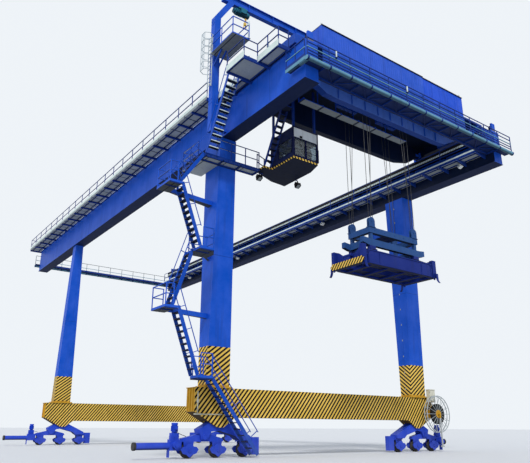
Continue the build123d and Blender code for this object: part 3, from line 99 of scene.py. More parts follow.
def length(name, description, value):
    """A length in metres for the settings panel."""
    return FloatProperty(name=name, description=description, subtype="DISTANCE", unit="LENGTH", min=0.001,
                         default=value)


class CraneSizes(bpy.types.PropertyGroup):
    """Sizes of stripes and of the small fittings that repeat."""
    sill_stripe: length("Sill stripes", "Length of one yellow and one black stripe along a sill", 0.130)
    leg_stripe: length("Leg stripes", "Height of one yellow and one black stripe on a leg", 0.133)
    end_stripe: length("Spreader stripes", "Length of one pair of stripes on the spreader's ends", 0.110)
    edge_stripe: length("Deck edge stripes", "Length of one pair of stripes round the cab's deck", 0.115)
    near_band: length("Near band", "Level of the striped band's top on the near legs", 2.79)
    far_band: length("Far band", "Level of the striped band's top on the far legs", 2.85)
    bolt: length("Bolts", "Radius of a large bolt head", 0.015)
    rib: length("Cladding ribs", "Distance between the machine house's ribs", 0.09)
    seam: length("Cladding seams", "Distance between the electrical house's seams", 0.42)
    link: length("Chain links", "Pitch of the energy chain", 0.09)
    clip: length("Rail clips", "Distance between the crane rails' clips", 0.55)
    tie_post: length("Tube clamps", "Distance between the clamps on an end tube", 0.78)


class CraneView(bpy.types.PropertyGroup):
    """The photograph's camera, in metres and degrees."""
    position: FloatVectorProperty(name="Position", description="Camera position in metres", size=3,
                                  subtype="TRANSLATION", unit="LENGTH", default=(-12.1335, -20.043, 0.741))
    heading: FloatProperty(name="Heading", description="Turn from the girders' direction towards the right",
                           subtype="ANGLE", default=math.radians(35.909))
    tilt: FloatProperty(name="Tilt", description="Upward tilt", subtype="ANGLE", default=math.radians(18.937))
    roll: FloatProperty(name="Roll", description="Roll of the camera", subtype="ANGLE", default=math.radians(0.224))
    lens: FloatProperty(name="Lens", description="Focal length on a 36 mm wide sensor", default=38.80)


# Shader building

def put(tree, kind, inputs=None, **settings):
    """A node with its settings; an input given as a field or socket is linked, anything else is its value."""
    made = tree.nodes.new(kind)
    for key, value in settings.items():
        setattr(made, key, value)
    for key, value in (inputs or {}).items():
        value = getattr(value, "socket", value)
        if isinstance(value, bpy.types.NodeSocket):
            tree.links.new(value, made.inputs[key])
        else:
            made.inputs[key].default_value = value
    return made


class Field:
    """A number in a shader, written in plain arithmetic; comparisons give hard-edged masks of 0 and 1."""

    def __init__(self, tree, socket):
        self.tree, self.socket = tree, socket

    def maths(self, operation, *values, clamp=False):
        """The result of a Math node."""
        made = put(self.tree, "ShaderNodeMath", dict(enumerate((self, *values))), operation=operation, use_clamp=clamp)
        return Field(self.tree, made.outputs[0])

    __add__ = partialmethod(maths, "ADD")
    __sub__ = partialmethod(maths, "SUBTRACT")
    __mul__ = partialmethod(maths, "MULTIPLY")
    __truediv__ = partialmethod(maths, "DIVIDE")
    __gt__ = partialmethod(maths, "GREATER_THAN")
    __lt__ = partialmethod(maths, "LESS_THAN")
    __or__ = partialmethod(maths, "MAXIMUM")
    __abs__ = partialmethod(maths, "ABSOLUTE")

    def between(self, low, high):
        return (self > low) * (self < high)

    def stripes(self, period, share=0.5):
        """Hard stripes, the first of each pair a share of the period wide."""
        return (self / period).maths("FRACT") < share

    def ramp(self, low, high):
        """0 to 1 as the number goes from low to high."""
        return Field(self.tree, put(self.tree, "ShaderNodeMapRange", {0: self, 1: low, 2: high}).outputs[0])


def noise(tree, scale, detail, rough=0.5, stretch=(1, 1, 1)):
    """Noise in object coordinates."""
    place = put(tree, "ShaderNodeTexCoord").outputs["Object"]
    place = put(tree, "ShaderNodeMapping", {"Vector": place, "Scale": stretch}).outputs[0]
    return Field(tree, put(tree, "ShaderNodeTexNoise", {"Vector": place, "Scale": scale, "Detail": detail,
                                                        "Roughness": rough}).outputs[0])


def rgba(color):
    """A colour socket as it is; three values, or the name of a paint in the settings, with full opacity."""
    if isinstance(color, str):
        color = getattr(bpy.context.scene.crane_paints, color)
    return color if isinstance(color, bpy.types.NodeSocket) else (*color, 1.0)


def dim(color, share):
    """A paint or colour with its values scaled."""
    return tuple(c * share for c in rgba(color)[:3])


def cover(mask, color, over):
    """A colour covered by another where the mask is 1."""
    return put(mask.tree, "ShaderNodeMix", {0: mask, 6: rgba(color), 7: rgba(over)}, data_type="RGBA").outputs[2]


class Spot:
    """The shaded point: its place and facing, and the patterns that several nodes share."""

    def __init__(self, tree):
        place = put(tree, "ShaderNodeTexCoord").outputs["Object"]
        normal = put(tree, "ShaderNodeNewGeometry").outputs["Normal"]
        self.x, self.y, self.z, self.nx, self.ny, self.nz = (
            Field(tree, part) for vector in (place, normal)
            for part in put(tree, "ShaderNodeSeparateXYZ", {0: vector}).outputs)
        self.end_face, self.flat = abs(self.nx) > 0.7, abs(self.nz) > 0.5
        self.sizes = bpy.context.scene.crane_sizes

    def hazard(self, value, period):
        """Yellow and black stripes across a coordinate."""
        return cover(value.stripes(period), "black", "yellow")

    def grating(self, along, across, pitch):
        """Bar grating seen from below or above: fine bars in panels with dark joints."""
        bars = across.stripes(0.030) * 0.35 + along.stripes(0.045) * 0.2
        color = cover(bars, "zinc", dim("zinc", 0.45))
        return cover(along.stripes(pitch, 0.05), color, "dark")


def socket(tree, label, kind, way="INPUT"):
    """A named socket of a node group."""
    return tree.interface.new_socket(label, in_out=way, socket_type="NodeSocket" + kind)


def weathering_and_shade_group():
    """Tone patches, rain streaks, rust specks, dust near the ground, and painted shade on faces that look down."""
    tree = bpy.data.node_groups.new("Weathered paint", "ShaderNodeTree")
    for label, value in {"Color": (0.5, 0.5, 0.5, 1), "Streaks": 0.3, "Patches": 0.22, "Dust": 0.35, "Gloss": 0.42,
                         "Rust": 0.25, "Shade": 0.86}.items():
        socket(tree, label, "Color" if label == "Color" else "Float").default_value = value
    for label, kind in {"Color": "Color", "Roughness": "Float", "Height": "Float"}.items():
        socket(tree, label, kind, "OUTPUT")
    given = tree.nodes.new("NodeGroupInput").outputs
    at = Spot(tree)
    patches = noise(tree, 1.6, 5.0, 0.6)
    tone = (patches - 0.5) * given["Patches"]
    run = noise(tree, 1.0, 4.0, 0.65, (9, 9, 0.5)).ramp(0.52, 0.8) * given["Streaks"]
    rust = noise(tree, 11.0, 6.0, 0.7, (1, 1, 0.4)).ramp(0.66, 0.74) * given["Rust"]
    dusty = (at.z.ramp(1.0, 0.0) * given["Dust"]).maths("MULTIPLY", patches + 0.1, clamp=True)
    # Painted shade: faces that look down are darkened towards near black, as far as the Shade input says.
    painted_underside_shade = at.nz.ramp(-0.35, -0.85) * given["Shade"]
    color = put(tree, "ShaderNodeHueSaturation", {"Color": given["Color"], "Value": tone * 2.0 + 1.0,
                                                  "Saturation": tone * -0.5 + 1.0}).outputs[0]
    for mask, over in ((run, (0.02, 0.025, 0.04)), (rust, (0.10, 0.045, 0.02)), (dusty, (0.22, 0.20, 0.17)),
                       (painted_underside_shade, (0.003, 0.005, 0.010))):
        color = cover(mask, color, over)
    rough = (run + dusty) * 0.35 + (rust + painted_underside_shade) * 0.3 + given["Gloss"]
    put(tree, "NodeGroupOutput", {"Color": color, "Roughness": rough.maths("ADD", tone * 0.4, clamp=True),
                                  "Height": noise(tree, 90.0, 2.0) + patches * 0.6})


def surface(name, build, metallic=0.0, bump=0.12):
    """A material whose colour, roughness and height come from build(tree)."""
    material = bpy.data.materials.new(name)
    material.use_nodes = True
    tree = material.node_tree
    tree.nodes.clear()
    color, rough, height = build(tree)
    normal = put(tree, "ShaderNodeBump", {"Height": height, "Strength": bump, "Distance": 0.002}).outputs[0]
    shader = put(tree, "ShaderNodeBsdfPrincipled", {"Base Color": color, "Roughness": rough, "Normal": normal,
                                                    "Metallic": metallic, "Specular IOR Level": 0.12})
    put(tree, "ShaderNodeOutputMaterial", {"Surface": shader.outputs[0]})
    return material


def weathered_and_shaded(tree, color, **weather):
    """Colour, roughness and height of paint with weathering and painted shade on faces that look down, for surface().
    """
    inputs = {"Color": rgba(color), **{key.capitalize(): value for key, value in weather.items()}}
    return put(tree, "ShaderNodeGroup", inputs, node_tree=bpy.data.node_groups["Weathered paint"]).outputs.values()


def layered(name, base, layers=None, metallic=0.0, **weather):
    """Paint with weathering and painted shade on faces that look down. Each layer that layers(spot) gives, a mask and a
    colour, covers those before it.
    """
    def build(tree):
        color = base
        for mask, over in (layers(Spot(tree)) if layers else ()):
            color = cover(mask, color, over)
        return weathered_and_shaded(tree, color, **weather)
    return surface(name, build, metallic)


# Layers of the finishes: masks in metres of the crane's frame, with what they show

def leg_layers(at, left, near):
    """Yellow and black stripes round the leg's foot; on the right legs they meet in a V."""
    lean = 0.77
    front = at.hazard(at.z - at.x * lean, at.sizes.leg_stripe)
    side = at.hazard(at.z + at.y * (lean if left else -lean), at.sizes.leg_stripe)
    return [(at.z.between(5.30, 5.315), dim("structure", 0.55)),
            (at.z < (at.sizes.near_band if near else at.sizes.far_band), cover(at.end_face, front, side)),
            (at.z < 1.80, "amber")]


def sill_layers(at):
    """Slanting yellow and black stripes along the sill, plain amber ends and collars."""
    return [(abs(at.ny) > 0.5, at.hazard(at.x - at.z * 0.828 - 0.005, at.sizes.sill_stripe)),
            (at.z > 1.7255, "amber")]


def girder_layers(at):
    """Blue plates with faint seams, steel crane rail, shaded inner faces."""
    inner = at.end_face * (at.x * at.nx < 0)
    # Painted shade: the inner faces are painted darker, and nearly black below the walkway.
    return [(at.end_face * at.y.stripes(3.1, 0.004), dim("structure", 0.5)),
            (inner, dim("structure", 0.8)), (inner * (at.z < 9.33), "dark"),
            (at.z.between(10.1165, 10.1715), "steel")]


def walkway_layers(at, deck, toe, pitch, open_from=None):
    """Railed walkway: grating deck, pale toe boards, dark brackets; levels are (low, high).

    Past open_from, a place along the girders, the lower half of the toe boards is grating."""
    grating = at.grating(at.y, at.x, pitch)
    made = [(at.z.between(*toe) * (at.end_face | (at.z > deck[1] + 0.004)), "pale"),
            (at.z.between(deck[0] - 0.002, deck[1] + 0.002) * at.flat, grating)]
    if open_from is not None:
        low = at.z.between(toe[0], sum(toe) / 2) * (at.y > open_from)
        made.append((low * at.end_face, grating))
    return made


def platform_layers(at):
    """Platform whose deck is grating, seen from above and below."""
    return [(at.flat, at.grating(at.x, at.y, 0.6))]


def stair_layers(at):
    """Blue stringers with dark grey galvanised treads; faces that look straight down are painted nearly black as
    painted shade.
    """
    return [(at.nz > 0.9, dim("zinc", 0.3)), (at.nz < -0.9, "dark")]


def tie_layers(at):
    """End walkway: teal tube, one pale rail, dark lattice and grating deck."""
    tube = (at.y < -11.0145) | (at.y > 12.6745) | at.y.between(-11.02, -10.20) * (at.x < -4.29)
    low = at.z < 9.364
    return [(low * (at.nz > 0.9), at.grating(at.x, at.y, 0.78)),
            ((at.y > 12.0) * (at.z > 9.37), dim("zinc", 0.6)), (low * tube, "tube"),
            (at.z.between(9.62, 9.652), "tube")]


def tray_layers(at):
    """Chain trough: pale side with a fine lattice between black lips, black chain inside."""
    lattice = (at.y + at.z).stripes(0.11, 0.3) * 0.75
    return [((at.nx < -0.5) * at.z.between(9.81, 9.875) * (at.x < 3.52),
             cover(lattice, "pale", "steel"))]


def house_layers(at, trim_level):
    """Cladding with a navy roof edge."""
    return [(at.z > trim_level, "trim")]


def trolley_layers(at):
    """Trolley frame: blue outside, the rear beam and the frame behind it below the floor painted nearly black as
    painted shade, grating catwalk.
    """
    walk = at.z.between(9.64, 9.68) * at.flat * (at.y > -9.3)
    # Painted shade: the rear beam and the frame behind it below the floor are painted nearly black.
    return [((at.y > -8.6) * (at.z < 10.6), "dark"),
            ((at.ny < -0.5) * at.y.between(-9.84, -9.78), (0.040, 0.105, 0.40)),
            (walk, "zinc"), (walk * (at.x + 2.917).stripes(0.73, 0.10), "dark"),
            (at.z.between(10.15, 10.32) * (abs(at.x) > 3.9), "steel")]


def cab_layers(at):
    """White fascia and roof over dark walls."""
    return [((at.ny < -0.5) * (at.z > 8.768), "cab"),
            (at.x.between(-2.752, -1.873) * at.y.between(-8.478, -7.42), (0.10, 0.11, 0.12)),
            ((at.nz > 0.5) * (at.z > 9.1), "cab")]


def cab_deck_layers(at):
    """Dark underside, hazard stripes round the deck's edge, grating on top."""
    edge = at.z.between(8.088, 8.152) * (abs(at.nz) < 0.5)
    return [(at.nz > 0.9, "zinc"), (edge, at.hazard(at.x - at.y + at.z * 0.6, at.sizes.edge_stripe)),
            (at.z < 8.068, "rubber")]


def arm_layers(at):
    """Blue beams, striped end beams."""
    end = at.end_face * (at.z < 5.076) * (abs(at.x) > 1.5)
    return [(end, at.hazard(at.y + at.z * 0.8, at.sizes.end_stripe))]


def spreader_layers(at):
    """Teal upper frame on the blue spreader."""
    return [(at.z > 5.50, "headblock")]


def reel_layers(at):
    """Pale spokes and rims, dark wound cable, yellow hub."""
    u, v = at.x - REEL_X, at.z - REEL_Z
    far = (u * u + v * v).maths("SQRT")
    cable = cover(far.stripes(0.028, 0.2), "rubber", (0.001, 0.001, 0.001))
    return [((far < 0.335) * at.y.between(-7.052, -6.968), cable), (far < 0.133, "amber")]


def stand_layers(at):
    """Reel bracket with cream power cabinet and pale cable guide."""
    return [((at.z > 1.59) * (at.y > -6.94), "cream"), (at.z < 1.06, (0.5, 0.52, 0.52))]


def hoist_layers(at):
    """Dark chain and yellow hook block."""
    return [((at.z < 13.48) * (at.x > -3.61), "rubber"), (at.z < 13.295, "yellow")]


def portal_layers(at):
    """The perch's grating deck and the galvanised caged ladder."""
    ladder = (at.x < -4.79) * at.z.between(10.3, 12.25) * (at.y > -7.28)
    return [(at.z.between(11.455, 11.505) * at.flat, at.grating(at.x, at.y, 0.6)),
            (ladder, dim("zinc", 1.6))]


def bogie_layers(at):
    """Black rubber buffer heads."""
    return [(at.z.between(0.19, 0.41) * ((at.x < -6.118) | (at.x > 5.368)), "rubber")]


def rope_finish():
    """Greased wire rope with the lay of its strands."""
    def build(tree):
        at = Spot(tree)
        strands = (((at.x + at.y) * 1.5 + at.z) / 0.024).maths("FRACT")
        color = cover(strands, dim("rope", 0.5), "rope")
        color, rough, height = weathered_and_shaded(tree, color, streaks=0.1, rust=0.1, shade=0.0)
        return color, rough, strands + height
    return surface("rope", build, metallic=0.5, bump=0.4)


def glass_finish():
    """Lightly tinted, smeared pane."""
    material = bpy.data.materials.new("cab glass")
    material.use_nodes = True
    tree = material.node_tree
    inputs = tree.nodes["Principled BSDF"].inputs
    tree.links.new((noise(tree, 7.0, 3.0) * 0.12).socket, inputs["Roughness"])
    for label, value in {"Base Color": rgba("glass"), "Transmission Weight": 0.92, "IOR": 1.45}.items():
        inputs[label].default_value = value
    return material


def finish(name):
    """One of the materials that the finishes operator has made."""
    return bpy.data.materials[name]


class CRANE_OT_finishes(bpy.types.Operator):
    """Give every carried-over solid its paint, zinc, rope or glass."""
    bl_idname = "crane.finishes"
    bl_label = "Finishes"

    def execute(self, context):
        weathering_and_shade_group()
        for name in ("structure", "rail", "headblock", "spreader", "cream", "pale", "amber", "trim", "teal", "running"):
            layered(name, name)
        layered("steel", "steel", metallic=0.6, gloss=0.5)
        layered("zinc", "zinc", metallic=0.6, gloss=0.5, shade=0.3)
        layered("rubber", "rubber", gloss=0.6, rust=0.0)
        layered("cab", "cab", streaks=0.15)
        layered("lens", (0.8, 0.82, 0.8), gloss=0.15, streaks=0.0, rust=0.0, shade=0.0)
        layered("cladding rib", dim("house", 0.93))
        layered("cabinet rib", dim("cabinet", 0.75))
        left_walkway = partial(walkway_layers, deck=(10.085, 10.115), toe=(10.05, 10.25), pitch=0.925,
                               open_from=-6.935)
        right_walkway = partial(walkway_layers, deck=(9.32, 9.35), toe=(9.375, 9.435), pitch=0.74)
        finishes = {
            "sill_": layered("sill paint", "amber", sill_layers, shade=0.9),
            "girder_": layered("girder paint", "structure", girder_layers, shade=0.93),
            "walkway_left": layered("left walkway", "rail", left_walkway, shade=0.0, streaks=0.2),
            "walkway_right": layered("right walkway", "rail", right_walkway, shade=0.0, streaks=0.2),
            "railing_left": finish("rail"), "trolley_gallery": finish("rail"), "flipper_": finish("spreader"),
            "headblock": finish("headblock"), "": finish("structure"),
            "end_tie_": layered("end tie paint", "rail", tie_layers, shade=0.7),
            "cable_tray": layered("chain trough", "rubber", tray_layers, gloss=0.55),
            "stair_flight_": layered("stair paint", dim("structure", 0.8), stair_layers, shade=0.5),
            "stair_landings": layered("landing paint", "structure", platform_layers, shade=0.85),
            "top_platform": layered("platform paint", "rail", platform_layers, shade=0.0),
            "service_hoist": layered("service hoist paint", "teal", hoist_layers),
            "service_portal": layered("portal paint", "structure", portal_layers, shade=0.5),
            "cab_glass": glass_finish(), "cab_shell": layered("cab paint", (0.007, 0.014, 0.06), cab_layers),
            "cab_access": layered("cab deck paint", "rail", cab_deck_layers, shade=0.95),
            "wheel_": layered("wheel iron", "wheel", dust=0.5, gloss=0.5, metallic=0.4),
            "bogie_": layered("bogie paint", "running", bogie_layers, dust=0.3, shade=0.8),
            "machine_house": layered("machine house paint", "house", partial(house_layers, trim_level=11.352),
                                     streaks=0.4),
            "electrical_house": layered("electrical house paint", "cabinet",
                                        partial(house_layers, trim_level=11.322), streaks=0.4),
            "trolley_frame": layered("trolley paint", dim("structure", 0.75), trolley_layers, shade=0.55),
            "hoist_ropes": rope_finish(),
            "spreader_frame": layered("spreader frame paint", "spreader", spreader_layers, shade=0.9),
            "spreader_arm_": layered("spreader arm paint", "spreader", arm_layers, shade=0.9),
            "reel_drum": layered("reel paint", (0.42, 0.46, 0.47), reel_layers),
            "reel_stand": layered("reel stand paint", "amber", stand_layers),
        }
        for end in ("near", "far"):
            for side in ("left", "right"):
                layers = partial(leg_layers, left=side == "left", near=end == "near")
                finishes[f"leg_{end}_{side}"] = layered(f"leg paint {side} {end}", "structure", layers)
        for name, node in NODES.items():
            longest = max((start for start in finishes if name.startswith(start)), key=len)
            for slot in node.material_slots:
                slot.link = "OBJECT"
                slot.material = finishes[longest]
        return {"FINISHED"}


# Stage

def link_object(name, data):
    """A new object in the scene."""
    made = bpy.data.objects.new(name, data)
    bpy.context.scene.collection.objects.link(made)
    return made


def sun(name, direction, strength, angle):
    """A soft distant lamp that shines along a direction."""
    lamp = bpy.data.lights.new(name, "SUN")
    lamp.energy, lamp.angle = strength, math.radians(angle)
    link_object(name, lamp).rotation_euler = Vector(direction).to_track_quat("-Z", "Y").to_euler()


def pale_world():
    """Even sky light, seen by the camera and in reflections as a pale backdrop."""
    world = bpy.data.worlds.new("studio")
    bpy.context.scene.world = world
    world.use_nodes = True
    tree = world.node_tree
    tree.nodes.clear()
    camera, glossy, through = (Field(tree, put(tree, "ShaderNodeLightPath").outputs[f"Is {kind} Ray"])
                               for kind in ("Camera", "Glossy", "Transmission"))
    lit, back = (put(tree, "ShaderNodeBackground", {"Color": (*color, 1), "Strength": strength}).outputs[0]
                 for color, strength in (((0.80, 0.88, 1.0), 0.55), ((0.86, 0.90, 0.94), 1.0)))
    mixed = put(tree, "ShaderNodeMixShader", {0: camera | glossy | through, 1: lit, 2: back}).outputs[0]
    put(tree, "ShaderNodeOutputWorld", {"Surface": mixed})


class CRANE_OT_stage(bpy.types.Operator):
    """Set the pale floor, the soft lamps and the photograph's camera."""
    bl_idname = "crane.stage"
    bl_label = "Stage"

    def execute(self, context):
        pale_world()
        sun("key", (0.45, 0.75, -0.9), 2.0, 12)
        sun("fill", (0.9, -0.2, -0.35), 0.5, 40)
        reach = 400
        mesh = bpy.data.meshes.new("floor")
        mesh.from_pydata([(-reach, -reach, 0), (reach, -reach, 0), (reach, reach, 0), (-reach, reach, 0)], [],
                         [(0, 1, 2, 3)])
        floor = link_object("floor", mesh)
        material = bpy.data.materials.new("floor")
        material.use_nodes = True
        inputs = material.node_tree.nodes["Principled BSDF"].inputs
        inputs["Base Color"].default_value = (0.72, 0.73, 0.74, 1)
        inputs["Roughness"].default_value = 0.9
        mesh.materials.append(material)
        view = context.scene.crane_view
        level = Vector((math.sin(view.heading), math.cos(view.heading), 0))
        forward = level * math.cos(view.tilt) + Vector((0, 0, math.sin(view.tilt)))
        side = level.cross(Vector((0, 0, 1)))
        right = side * math.cos(view.roll) + side.cross(forward) * math.sin(view.roll)
        lens = bpy.data.cameras.new("camera")
        lens.lens, lens.sensor_width, lens.clip_end = view.lens, 36.0, 2000
        camera = link_object("camera", lens)
        turn = Matrix((right, right.cross(forward), -forward)).transposed()
        camera.matrix_world = Matrix.Translation(view.position) @ turn.to_4x4()
        context.scene.camera = camera
        context.scene.view_settings.view_transform = "Standard"
        return {"FINISHED"}


# Mesh building

class Build:
    """Collects the faces of one fitted piece; each face remembers which finish it wears.

    All points are measured from the place given by at."""

    def __init__(self, paint):
        self.mesh = bmesh.new()
        self.finishes = []
        self.paint = paint
        self.at = (0, 0, 0)

    def add(self, rings, paint=None, smooth=False):
        """Join rings of points, each with as many points, and close both ends."""
        paint = paint or self.paint
        if paint not in self.finishes:
            self.finishes.append(paint)
        rings = [[self.mesh.verts.new(Vector(point) + Vector(self.at)) for point in ring] for ring in rings]
        faces = [self.mesh.faces.new(rings[0][::-1]), self.mesh.faces.new(rings[-1])]
        for low, high in zip(rings, rings[1:]):
            for i in range(len(low)):
                j = (i + 1) % len(low)
                faces.append(self.mesh.faces.new((low[i], low[j], high[j], high[i])))
                faces[-1].smooth = smooth
        for face in faces:
            face.material_index = self.finishes.index(paint)

    def block(self, x, y, z, paint=None):
        """A box between two values on each axis; one number reaches as far to either side."""
        x, y, z = (pair if isinstance(pair, tuple) else (-pair, pair) for pair in (x, y, z))
        ring = [(x[0], y[0]), (x[1], y[0]), (x[1], y[1]), (x[0], y[1])]
        self.add([[(a, b, level) for a, b in ring] for level in z], paint)

    def sweep(self, path, outline, paint=None, smooth=False):
        """Carry an outline of (side, up) offsets along a path of points."""
        path = [Vector(point) for point in path]
        rings = []
        for i, point in enumerate(path):
            ahead = (path[min(i + 1, len(path) - 1)] - path[max(i - 1, 0)]).normalized()
            side = ahead.cross(Vector((0, 0, 1)))
            side = side.normalized() if side.length > 1e-4 else Vector((1, 0, 0))
            up = side.cross(ahead)
            rings.append([point + side * a + up * b for a, b in outline])
        self.add(rings, paint, smooth)

    def tube(self, path, radius, paint=None, sides=8):
        """A round bar or pipe along a path."""
        self.sweep(path, circle(sides, radius), paint, smooth=True)

    def wire(self, path, radius=0.006, paint="steel"):
        """A thin six-sided bar or cable along a path."""
        self.tube(path, radius, paint, 6)

    def post(self, x, y, low, high, radius, paint=None, sides=8):
        """An upright round bar."""
        self.tube([(x, y, low), (x, y, high)], radius, paint, sides)

    def plate(self, outline, low, high, axis="y", paint=None):
        """A plate whose outline lies across x or y, between two values on that axis."""
        self.add([[(w, u, v) if axis == "x" else (u, w, v) for u, v in outline] for w in (low, high)], paint)

    def done(self, name, body, slot, edge=0.003):
        """Make the object, ease its edges, and let it ride on its body; given anything other than a body's name, it
        stays unparented where it is.
        """
        bmesh.ops.recalc_face_normals(self.mesh, faces=self.mesh.faces)
        mesh = bpy.data.meshes.new(name)
        self.mesh.to_mesh(mesh)
        self.mesh.free()
        for paint in self.finishes:
            mesh.materials.append(finish(paint))
        made = link_object(name, mesh)
        if edge:
            bevel = made.modifiers.new("eased edges", "BEVEL")
            bevel.width, bevel.segments, bevel.angle_limit = edge, 1, math.radians(50)
        if isinstance(body, str):
            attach(made, body)
        else:
            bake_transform(made)
        return made


REPEATED = {"Bars": ("Length", "Width", "Height"), "Bolts": ("Sides", "Radius", "Height")}


def repeat_tree(kind):
    """A geometry nodes tree that sets one small bar or bolt on every point, turned by the point's directions."""
    tree = bpy.data.node_groups.new(kind, "GeometryNodeTree")
    socket(tree, "Points", "Geometry")
    for label in REPEATED[kind]:
        count = label == "Sides"
        socket(tree, label, "Int" if count else "Float").default_value = 6 if count else 0.02
    socket(tree, "Material", "Material")
    socket(tree, "Mesh", "Geometry", "OUTPUT")
    given = tree.nodes.new("NodeGroupInput").outputs
    along, out, stretch = (put(tree, "GeometryNodeInputNamedAttribute", {"Name": label},
                               data_type="FLOAT_VECTOR").outputs["Attribute"] for label in ("along", "out", "stretch"))
    turn = put(tree, "FunctionNodeAlignRotationToVector", {"Vector": along}, axis="X").outputs[0]
    turn = put(tree, "FunctionNodeAlignRotationToVector", {"Rotation": turn, "Vector": out}, axis="Z",
               pivot_axis="X").outputs[0]
    if kind == "Bars":
        size = put(tree, "ShaderNodeCombineXYZ", {i: given[label] for i, label in enumerate(REPEATED[kind])})
        shape = put(tree, "GeometryNodeMeshCube", {"Size": size.outputs[0]}).outputs["Mesh"]
    else:
        shape = put(tree, "GeometryNodeMeshCylinder", {"Vertices": given["Sides"], "Radius": given["Radius"],
                                                       "Depth": given["Height"]}).outputs["Mesh"]
    placed = put(tree, "GeometryNodeInstanceOnPoints", {"Points": given["Points"], "Instance": shape,
                                                        "Rotation": turn, "Scale": stretch}).outputs[0]
    real = put(tree, "GeometryNodeRealizeInstances", {"Geometry": placed}).outputs[0]
    painted = put(tree, "GeometryNodeSetMaterial", {"Geometry": real, "Material": given["Material"]}).outputs[0]
    put(tree, "NodeGroupOutput", {0: painted})


def repeat(kind, name, body, slot, paint, spots, *sizes):
    """Set a small shape on every spot, (place, along, out[, stretch]), and keep the result as one plain mesh.

    A stretch given as one number leaves the height as it is."""
    mesh = bpy.data.meshes.new(name)
    mesh.from_pydata([spot[0] for spot in spots], [], [])
    columns = {"along": [], "out": [], "stretch": []}
    for _, along, out, *stretch in spots:
        stretch = stretch[0] if stretch else 1
        stretch = stretch if isinstance(stretch, tuple) else (stretch, stretch, 1)
        for column, value in zip(columns.values(), (along, out, stretch)):
            column += value
    for label, column in columns.items():
        mesh.attributes.new(label, "FLOAT_VECTOR", "POINT").data.foreach_set("vector", column)
    made = link_object(name, mesh)
    modifier = made.modifiers.new(kind, "NODES")
    modifier.node_group = bpy.data.node_groups[kind]
    values = {**dict(zip(REPEATED[kind], sizes)), "Material": finish(paint)}
    for item in modifier.node_group.interface.items_tree:
        if item.in_out == "INPUT" and item.name in values:
            modifier[item.identifier] = values[item.name]
    result = made.evaluated_get(bpy.context.evaluated_depsgraph_get())
    plain = bpy.data.meshes.new_from_object(result)
    made.modifiers.clear()
    made.data = plain
    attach(made, body)


bars = partial(repeat, "Bars")


def bolt_heads(name, body, slot, paint, spots, height, radius=None, sides=6):
    """Bolt heads or round clamps on every spot, as large as the settings say unless a radius is given."""
    radius = radius or bpy.context.scene.crane_sizes.bolt
    repeat("Bolts", name, body, slot, paint, spots, sides, radius, height)


def spread(low, high, pitch):
    """Evenly spaced values from low to high, no further apart than pitch."""
    count = max(1, math.ceil((high - low) / pitch - 1e-6))
    return [low + (high - low) * i / count for i in range(count + 1)]


def about(value, reach):
    """The two values that lie reach to either side."""
    return (value - reach, value + reach)


def circle(count, radius, first=0.0):
    """Offsets evenly spaced round a circle, the first one a share of a step on."""
    turns = [2 * math.pi * (i + first) / count for i in range(count)]
    return [(radius * math.cos(turn), radius * math.sin(turn)) for turn in turns]


# Fittings

X, Y, Z = (1, 0, 0), (0, 1, 0), (0, 0, 1)
SIDES = (-1, 1)
CORNERS = [(side, end) for side in SIDES for end in SIDES]
# Middles of the legs (of girders and crane rails too), of the load, of its sheaves seen from there, and of the reel
LEG_X, LEG_Y = 4, 6.5
LOAD_Y = -9.195
SHEAVE_X, SHEAVE_Y = 0.885, 0.375
REEL_X, REEL_Y, REEL_Z = 4.55, -7.01, 1.195


class CRANE_OT_travel(bpy.types.Operator):
    """Fit the bogies: motor fins, axle cap bolts, gearbox covers, pivot nuts and motor cables."""
    bl_idname = "crane.travel"
    bl_label = "Travelling gear"

    def execute(self, context):
        repeat_tree("Bars")
        repeat_tree("Bolts")
        axle, pivot = 0.19, 0.504
        bolts, fins = [], []
        fit = Build("running")
        for side, end in CORNERS:
            def at(x, y, z):
                """A place given from the leg's middle inwards."""
                return (side * (LEG_X - x), end * (LEG_Y - y), z)
            for face in SIDES:
                out = (0, -end * face, 0)
                for x in (-0.715, 0.115, 0.96):
                    bolts += [(at(x + a, face * 0.166, axle + b), X, out, 0.55) for a, b in circle(5, 0.034)]
                    bolts += [(at(x + turn * a, face * 0.152, axle + b), X, out, 0.8) for turn in SIDES
                              for a, b in ((0.16, -0.02), (0.115, 0.06), (0.1, -0.075))]
                middle, inner, _ = at(-0.30, face * 0.152, 0)
                fit.plate([(middle + a, pivot + b) for a, b in circle(12, 0.075)], inner, inner + out[1] * 0.018)
                bolts += [(at(-0.30 + a, face * 0.172, pivot + b), X, out, 0.7) for a, b in circle(6, 0.05)]
            x, y, _ = at(-1.095, 0, 0)
            fins += [((x + 0.079 * a, y + 0.079 * b, 0.71), Z, (a, b, 0)) for a, b in circle(18, 1)]
            fit.block(about(x, 0.028), (y + end * 0.072, y + end * 0.112), (0.68, 0.76))
            fit.wire([(x - side * a, y + end * b, z) for a, b, z in
                      ((0, 0.10, 0.69), (0.05, 0.12, 0.60), (0.16, 0.10, 0.56), (0.30, 0.06, 0.52))], 0.008, "rubber")
            bolts += [((x + a, y + face * 0.083, z), X, (0, face, 0), 0.6) for face in SIDES for z in (0.48, 0.52)
                      for a in spread(-0.09, 0.09, 0.06)]
        fit.done("bogie_fittings", "frame", "structure_blue")
        bolt_heads("bogie_bolts", "frame", "structure_blue", "running", bolts, 0.014)
        bars("motor_fins", "frame", "structure_blue", "running", fins, 0.13, 0.006, 0.022)
        return {"FINISHED"}


